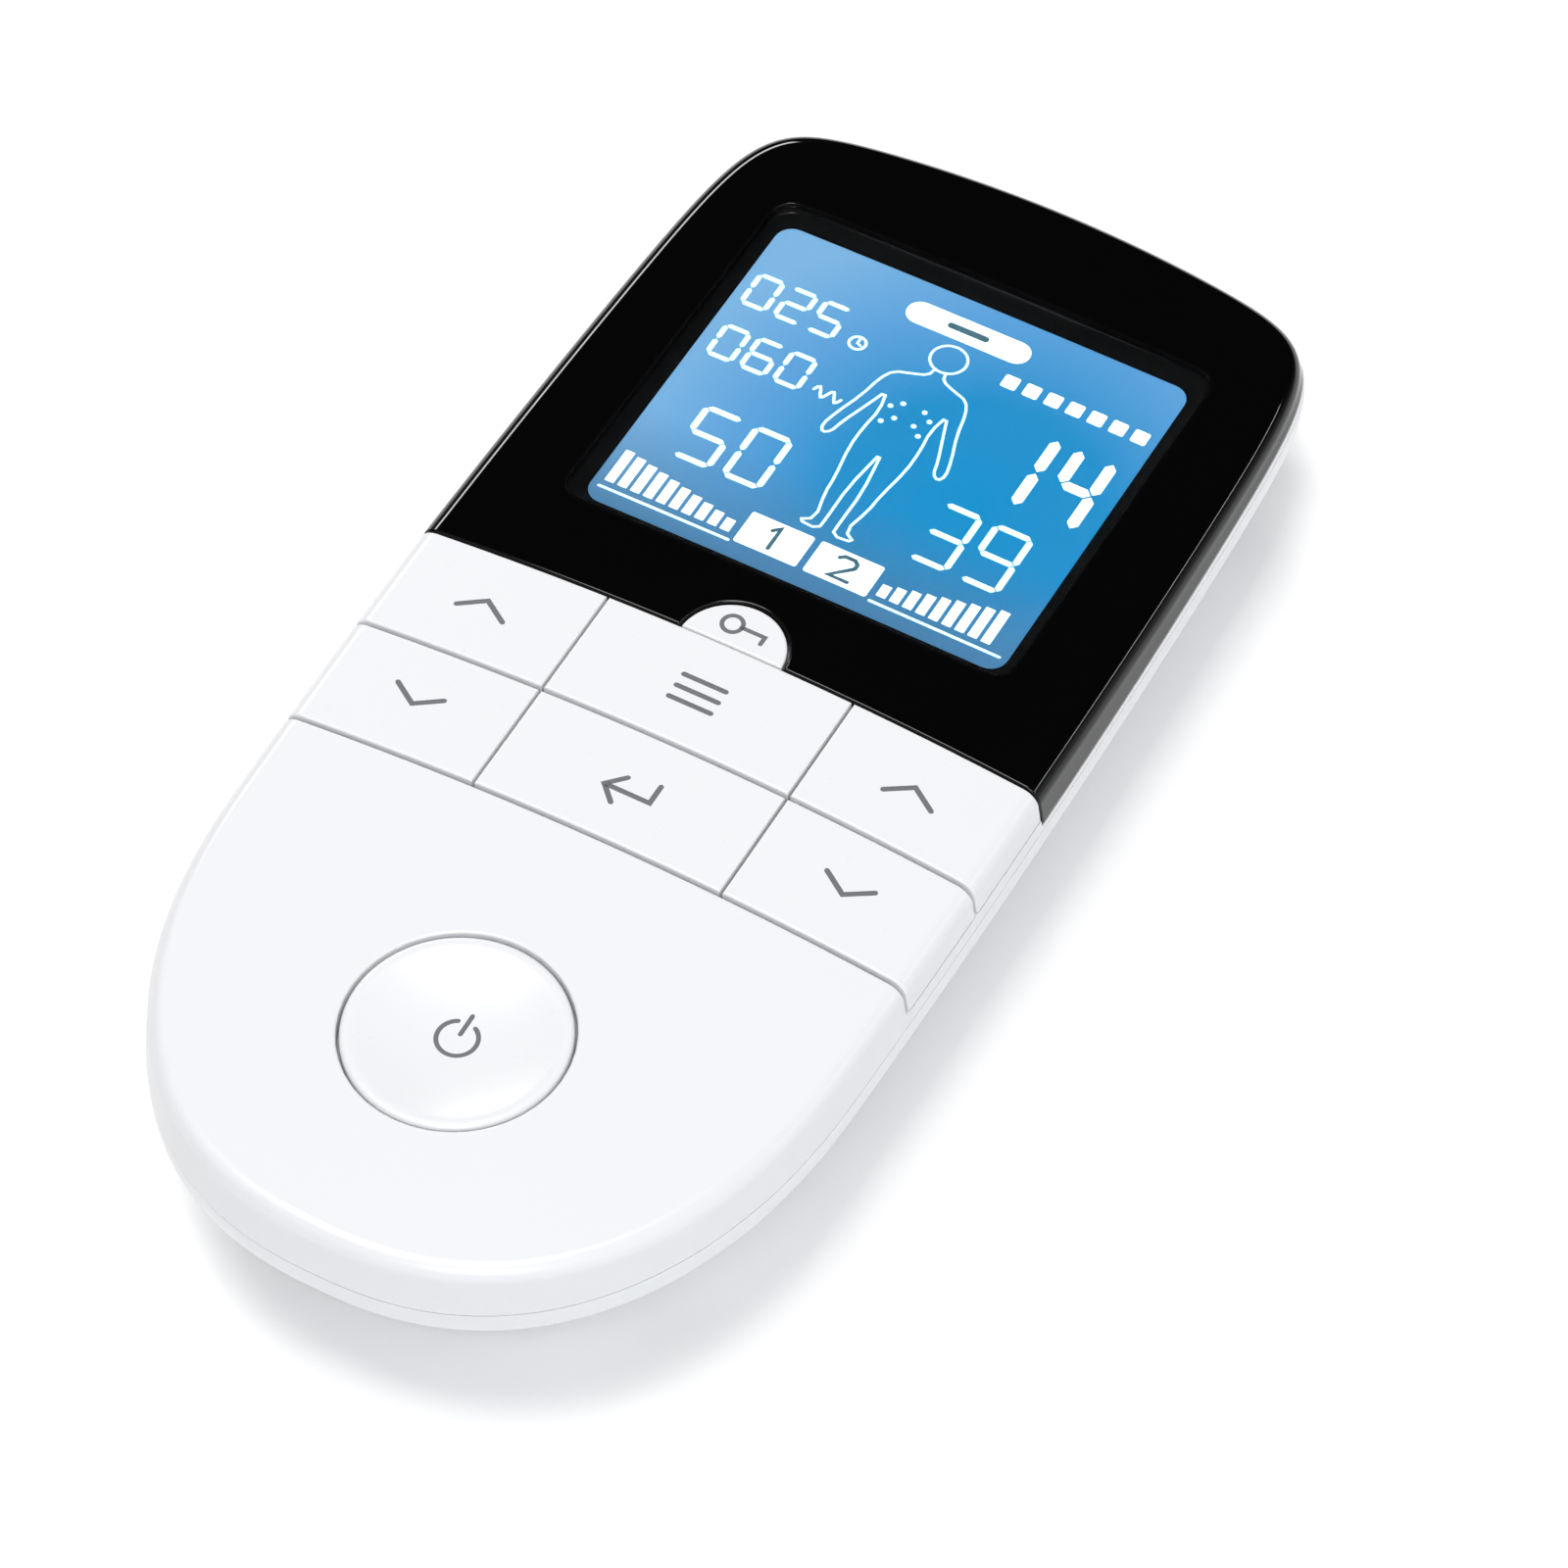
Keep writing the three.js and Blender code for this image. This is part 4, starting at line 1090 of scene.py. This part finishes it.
def body_outline():
    """A plain standing figure drawn as one line, with round pads on its trunk."""
    half = rounded_profile(BODY_HALF, 1)
    other = half[::-1] * [-1, 1]
    line = np.vstack([half, other])
    shapes = [ribbon(line, BODY_LINE), ribbon(ring_line(*HEAD), BODY_LINE, closed=True)]
    for x, y in PADS:
        shapes += [polygon(ring_line((side * x, y), 0.27, steps=12)) for side in (-1, 1)]
    return shapes


def bar_graph(x, y, count, pitch, width, heights):
    first, last = heights
    shapes = []
    for i in range(count):
        tall = first + (last - first) * i / (count - 1)
        shapes.append(polygon([
            (x + i * pitch, y), (x + i * pitch + width, y),
            (x + i * pitch + width, y + tall), (x + i * pitch, y + tall),
        ]))
    return shapes


SCREEN_MIDDLE = 33
SCREEN_SQUEEZE = 0.95


def squeezed(shapes):
    """The same shapes a little shorter about the middle of the display."""
    return [
        (np.c_[p[:, 0], SCREEN_MIDDLE + (p[:, 1] - SCREEN_MIDDLE) * SCREEN_SQUEEZE], f)
        for p, f in shapes
    ]


def screen_marks():
    """What the display shows: times, strengths, bar graphs and the figure."""
    lines = []
    lines += number("025", -20.2, 42.1, 2.9, 4.4, 0.5, 3.45)
    lines += number("060", -19.9, 34.9, 2.9, 4.4, 0.5, 3.45)
    lines += number("50", -16.6, 22.3, 4.1, 7.1, 0.62, 5.1)
    lines += number("39", 7.6, 22.1, 4.1, 7.7, 0.62, 5.1)
    lines += [ribbon(fine([(-20.3, 15.75), (-7.1, 15.75)]), 0.3)]
    lines += [ribbon(fine([(7.2, 15.75), (20.2, 15.75)]), 0.3)]
    lines += [ribbon(ring_line((-8.2, 43.0), 0.8, steps=20), 0.28, closed=True)]
    lines += [ribbon([(-8.2, 43.55), (-8.2, 43.0), (-7.8, 42.8)], 0.24)]
    wave = [(-9.0 + 0.2 * k, 35.9 + 0.6 * math.sin(k * 0.9)) for k in range(15)]
    lines += [ribbon(wave, 0.28)]
    return squeezed(lines + body_outline())


def screen_blocks():
    blocks = [rounded_bar((-6.3, 47.9), (6.3, 50.7), 1.38)]
    blocks += bar_graph(-20.2, 16.6, 10, 1.31, 0.92, (4.2, 1.5))
    blocks += bar_graph(7.4, 16.6, 9, 1.31, 0.92, (1.5, 4.2))
    for x in (-6.7, 0.35):
        blocks.append(rounded_bar((x, 15.9), (x + 6.35, 19.9), 0.25))
    blocks += [rounded_bar((5.4 + 2.2 * k, 44.9), (6.9 + 2.2 * k, 46.5), 0.2) for k in range(7)]
    blocks += number("14", 9.4, 31.9, 4.3, 10.2, 1.1, 5.6)
    return squeezed(blocks)


LABEL_LINE = 0.42


def screen_insets():
    """The dark figures inside the lit boxes and the lit bar."""
    insets = [rounded_bar((-2.1, 48.95), (2.1, 49.65), 0.34)]
    one = [(-4.1, 18.7), (-3.5, 19.25), (-3.5, 16.6)]
    two = [
        (2.6, 18.9), (3.0, 19.25), (4.0, 19.25), (4.4, 18.9), (4.4, 18.35), (2.6, 16.6), (4.5, 16.6),
    ]
    insets += [ribbon(one, LABEL_LINE), ribbon(two, LABEL_LINE)]
    return squeezed(insets)


def level(z):
    return lambda x, y: np.full(len(x), z)


UNDER_MASK = 0.6  # how far the lit plate reaches under the black border


def make_display():
    area = SCREEN_AREA
    plate = rounded_bar((-area["half_width"] - UNDER_MASK, area["low"] - UNDER_MASK),
                        (area["half_width"] + UNDER_MASK, area["high"] + UNDER_MASK), area["corner"])
    new_piece("display_screen", marks([plate], level(SCREEN_Z), 0.03), SCREEN, "case")
    new_piece("display_figures", marks(screen_marks(), level(SEGMENT_Z), 0.02), SEGMENT, "case")
    new_piece("display_blocks", marks(screen_blocks(), level(SEGMENT_Z), 0.02), SEGMENT_SOLID,
              "case")
    new_piece("display_insets", marks(screen_insets(), level(SEGMENT_Z + 0.025), 0.02),
              SEGMENT_DARK, "case")
    new_piece("display_mask", mask_frame(), MASK, "case")


def mask_frame():
    """The printed black border under the window, open over the lit area."""
    area = SCREEN_AREA
    inner = rounded_bar((-area["half_width"], area["low"]), (area["half_width"], area["high"]),
                        area["corner"])[0]
    outer = rounded_bar((-23.2, 12.6), (23.2, 54.8), 2)[0]
    count = len(inner)
    faces = [(i, (i + 1) % count, count + (i + 1) % count, count + i)[::-1] for i in range(count)]
    return marks([(np.vstack([inner, outer]), faces)], level(MASK_Z), 0.05)


# ---------------------------------------------------------------- rear shell

JACK = dict(x=13, z=8.6, hole=3.5)
SCREWS = ((-21.3, 59.5), (21.3, 59.5), (-21.6, -47.6), (21.6, -47.6))
SCREW_RECESS = 2.12
LID = dict(half_width=18.55, back=-2.25, top=1.4)
REAR_ROUND = 0.2
REAR_SKIN = 1.2
SKIN_BY_LID = 0.3  # thinner beside the lid, to leave its lugs and edges room
FLOOR_SINK = 2 * CORE_SINK


def sink_rear(points):
    """Draws in what lies on the outside of the rear half, and lifts what is by the lid or the floor."""
    x, y, z = points.T
    levels = np.array(HULL_LEVELS[::-1])
    drawn = np.interp(z, levels[:, 0], levels[:, 1])
    across = inset_rear(x, y, drawn)
    by_lid = (z < LID["top"] + 0.2) & (np.abs(x) < LID["half_width"] + 0.1)
    near = (across < 0.25) & ~by_lid
    moved = points.copy()
    moved[near, 0] *= 1 - REAR_SINK / HALF_WIDTH
    end = near & (np.abs(y - WIDEST_Y) > 40)
    moved[end, 1] *= 1 - REAR_SINK / HALF_LENGTH
    moved[(z < 0.5) | by_lid, 2] += FLOOR_SINK
    return moved


def inset_rear(x, y, drawn):
    """How far inside the rear half's surface a point lies, at the height it is at."""
    scale_front = (HALF_LENGTH + FRONT_CENTRE_Y) / (HALF_LENGTH + FRONT_CENTRE_Y - drawn * HULL_FRONT)
    scale_back = (HALF_LENGTH - WIDEST_Y) / (HALF_LENGTH - WIDEST_Y - drawn * HULL_BACK)
    wide = x * HALF_WIDTH / (HALF_WIDTH - drawn)
    long = np.where(
        y < FRONT_CENTRE_Y, FRONT_CENTRE_Y + (y - FRONT_CENTRE_Y) * scale_front,
        np.where(y > WIDEST_Y, WIDEST_Y + (y - WIDEST_Y) * scale_back, y),
    )
    return inset_of(wide, np.clip(long, -HALF_LENGTH + 0.01, HALF_LENGTH - 0.01))


def make_rear_housing():
    """The rear shell, open for the battery lid, the screws and the two sockets."""
    mesh = rear_skin()
    lid_lines = [
        lambda p: np.abs(p[:, 0]) - LID["half_width"],
        lambda p: p[:, 1] - LID["back"],
        lambda p: p[:, 2] - LID["top"],
    ]
    lid = lambda p: np.max([line(p) for line in lid_lines], axis=0)
    for line in lid_lines:
        mesh = split(mesh, line, 0)
    mesh = only(mesh, lambda p: lid(p) > -ON_LINE)
    holes = [outside(SCREW_RECESS, x, y) for x, y in SCREWS]
    below_face = lambda hole: lambda p: np.where(p[:, 2] < 10, hole(p), -1)
    jacks = [
        lambda p, s=s: np.where(
            p[:, 1] > 50, JACK["hole"] - np.hypot(p[:, 0] - s * JACK["x"], p[:, 2] - JACK["z"]), -1)
        for s in (-1, 1)
    ]
    fields = [below_face(hole) for hole in holes] + jacks
    for field in fields:
        mesh = trimmed(mesh, field)
    mesh = with_rounding_lines(mesh, fields, REAR_ROUND)
    mesh = with_rounding_lines(mesh, lid_lines, -REAR_ROUND)
    edges = lambda p: np.max([field(p) for field in fields] + [-lid(p)], axis=0)
    mesh = round_over(mesh, edges, REAR_ROUND)
    x, y, z = mesh[0].T
    by_lid = (np.abs(x) < LID["half_width"] + 1) & (y < LID["back"] + 1) & (z < 4)
    depth = np.where(by_lid, SKIN_BY_LID, REAR_SKIN)[:, None]
    solid = join(thicken(mesh, depth), cad_core("rear_housing", sink_rear))
    new_piece("rear_housing_shell", solid, LOOKS["shell"], "case", ["rear_housing"])


# ---------------------------------------------------------------- CAD nodes that stay

WELD_DISTANCE = 0.000002
FLAT_ANGLE = math.radians(1.5)
EDGE_ANGLE = math.radians(32)
EDGE_WIDTH = 0.08
LARGE_EDGE_WIDTH = 0.12


def weld_group():
    """Joins a node's loose triangles, and shades it smooth except across its edges."""
    group = bpy.data.node_groups.new("weld_and_shade", "GeometryNodeTree")
    group.interface.new_socket("Geometry", in_out="INPUT", socket_type="NodeSocketGeometry")
    group.interface.new_socket("Geometry", in_out="OUTPUT", socket_type="NodeSocketGeometry")
    add = group.nodes.new
    start, end = add("NodeGroupInput"), add("NodeGroupOutput")
    forget = add("GeometryNodeRemoveAttribute")
    forget.inputs["Name"].default_value = "custom_normal"
    weld = add("GeometryNodeMergeByDistance")
    weld.inputs["Distance"].default_value = WELD_DISTANCE
    faces = add("GeometryNodeSetShadeSmooth")
    edges = add("GeometryNodeSetShadeSmooth")
    edges.domain = "EDGE"
    edges.inputs["Shade Smooth"].default_value = False
    angle = add("GeometryNodeInputMeshEdgeAngle")
    steep = add("FunctionNodeCompare")
    steep.inputs["B"].default_value = EDGE_ANGLE
    link = group.links.new
    link(start.outputs[0], forget.inputs["Geometry"])
    link(forget.outputs["Geometry"], weld.inputs["Geometry"])
    link(weld.outputs["Geometry"], faces.inputs["Geometry"])
    link(faces.outputs["Geometry"], edges.inputs["Geometry"])
    link(angle.outputs["Unsigned Angle"], steep.inputs["A"])
    link(steep.outputs["Result"], edges.inputs["Selection"])
    link(edges.outputs["Geometry"], end.inputs[0])
    return group


WELD = weld_group()


def soften(node, width):
    """Rounds a CAD node's edges with modifiers, and leaves its mesh as it is."""
    piece = NODES[node]
    piece.modifiers.new("weld", "NODES").node_group = WELD
    flat = piece.modifiers.new("flat", "DECIMATE")
    flat.decimate_type = "DISSOLVE"
    flat.angle_limit = FLAT_ANGLE
    bevel = piece.modifiers.new("edges", "BEVEL")
    bevel.width = width * MM
    bevel.segments = 3
    bevel.limit_method = "ANGLE"
    bevel.angle_limit = EDGE_ANGLE
    bevel.harden_normals = False
    piece.modifiers.new("steady_normals", "WEIGHTED_NORMAL").keep_sharp = True


def finish_cad_nodes():
    """Gives each node still shown its finish, by the record's slot that it was packed with."""
    for node, piece in NODES.items():
        if piece.hide_render:
            continue
        slot = piece.material_slots[0]
        slot.material = LOOKS[slot.material.name.split(".")[0]]
        soften(node, LARGE_EDGE_WIDTH if node in ("battery_lid", "main_board") else EDGE_WIDTH)


# ---------------------------------------------------------------- floor, light and camera

CAMERA = dict(azimuth=29.9, elevation=52.8, roll=-0.87, distance=641.2, lens=168.4)
AIM = Vector((8.68, -1.45, 12.74)) * MM


def direction(azimuth, elevation):
    a, e = math.radians(azimuth), math.radians(elevation)
    return Vector((math.sin(a) * math.cos(e), -math.cos(a) * math.cos(e), math.sin(e)))


def aimed(thing, place, target, roll=0.0):
    thing.location = place
    turn = (place - target).to_track_quat("Z", "Y").to_matrix()
    thing.rotation_euler = (turn @ Matrix.Rotation(math.radians(roll), 3, "Z")).to_euler()


def make_camera():
    data = bpy.data.cameras.new("camera")
    data.lens = CAMERA["lens"]
    data.sensor_width = 36
    data.clip_start = 0.01
    camera = bpy.data.objects.new("camera", data)
    bpy.context.scene.collection.objects.link(camera)
    back = direction(CAMERA["azimuth"], CAMERA["elevation"])
    aimed(camera, AIM + back * CAMERA["distance"] * MM, AIM, CAMERA["roll"])
    bpy.context.scene.camera = camera


def area_light(name, azimuth, elevation, distance, size, power):
    data = bpy.data.lights.new(name, "AREA")
    data.shape = "RECTANGLE"
    data.size, data.size_y = size
    data.energy = power
    light = bpy.data.objects.new(name, data)
    bpy.context.scene.collection.objects.link(light)
    target = Vector((0, 0, 0.01))
    aimed(light, target + direction(azimuth, elevation) * distance, target)


WORLD_STRENGTH = 0.75
# Where the studio is dark: behind the object, and a little at its front left
FLAGS = [
    dict(azimuth=190, elevation=38, inner=34, outer=74, light=0.02),
    dict(azimuth=300, elevation=0, inner=20, outer=78, light=0.0),
]


def make_world():
    """Soft light from all round, less where the flags hang."""
    world = bpy.data.worlds.new("studio")
    world.use_nodes = True
    tree = world.node_tree
    background = tree.nodes["Background"]
    place = tree.nodes.new("ShaderNodeTexCoord").outputs["Generated"]
    strength = None
    for flag in FLAGS:
        product = tree.nodes.new("ShaderNodeMath")
        product.operation = "MULTIPLY"
        tree.links.new(flag_shade(tree, place, flag), product.inputs[0])
        if strength:
            tree.links.new(strength, product.inputs[1])
        else:
            product.inputs[1].default_value = WORLD_STRENGTH
        strength = product.outputs["Value"]
    tree.links.new(strength, background.inputs["Strength"])
    background.inputs["Color"].default_value = (0.93, 0.96, 1.0, 1)
    bpy.context.scene.world = world


def flag_shade(tree, place, flag):
    """A factor that falls from 1 to the flag's own light towards its middle."""
    dot = tree.nodes.new("ShaderNodeVectorMath")
    dot.operation = "DOT_PRODUCT"
    dot.inputs[1].default_value = direction(flag["azimuth"], flag["elevation"])
    tree.links.new(place, dot.inputs[0])
    shade = tree.nodes.new("ShaderNodeMapRange")
    shade.interpolation_type = "SMOOTHSTEP"
    shade.inputs["From Min"].default_value = math.cos(math.radians(flag["outer"]))
    shade.inputs["From Max"].default_value = math.cos(math.radians(flag["inner"]))
    shade.inputs["To Min"].default_value = 1
    shade.inputs["To Max"].default_value = flag["light"]
    tree.links.new(dot.outputs["Value"], shade.inputs["Value"])
    return shade.outputs["Result"]


FLOOR_HALF = 1.6
FLOOR_Z = -0.0003


def make_floor():
    corners = [(x * FLOOR_HALF, y * FLOOR_HALF, FLOOR_Z) for x, y in ((-1, -1), (1, -1), (1, 1), (-1, 1))]
    data = bpy.data.meshes.new("floor")
    data.from_pydata(corners, [], [(0, 1, 2, 3)])
    look = Look("floor_paper", (0.95, 0.95, 0.95), 0.8)
    look.mottled(3, 0.01)
    data.materials.append(look.material)
    floor = bpy.data.objects.new("floor", data)
    bpy.context.scene.collection.objects.link(floor)


def make_studio():
    make_floor()
    make_world()
    area_light("key_light", 275, 81, 1.2, (0.6, 0.6), 9.9)
    area_light("fill_front", 25, 48, 1.1, (0.5, 0.4), 3.3)
    area_light("sheen_back", 226, 28, 0.9, (0.4, 0.14), 2.2)
    area_light("strip_right", 128, 32, 0.9, (0.6, 0.025), 0.7)
    view = bpy.context.scene.view_settings
    view.view_transform = "Standard"
    view.look = "None"


make_camera()
make_keys()
make_power_key()
make_display_cover()
make_window()
make_top_housing()
make_rear_housing()
make_display()
make_icons()
finish_cad_nodes()
make_studio()
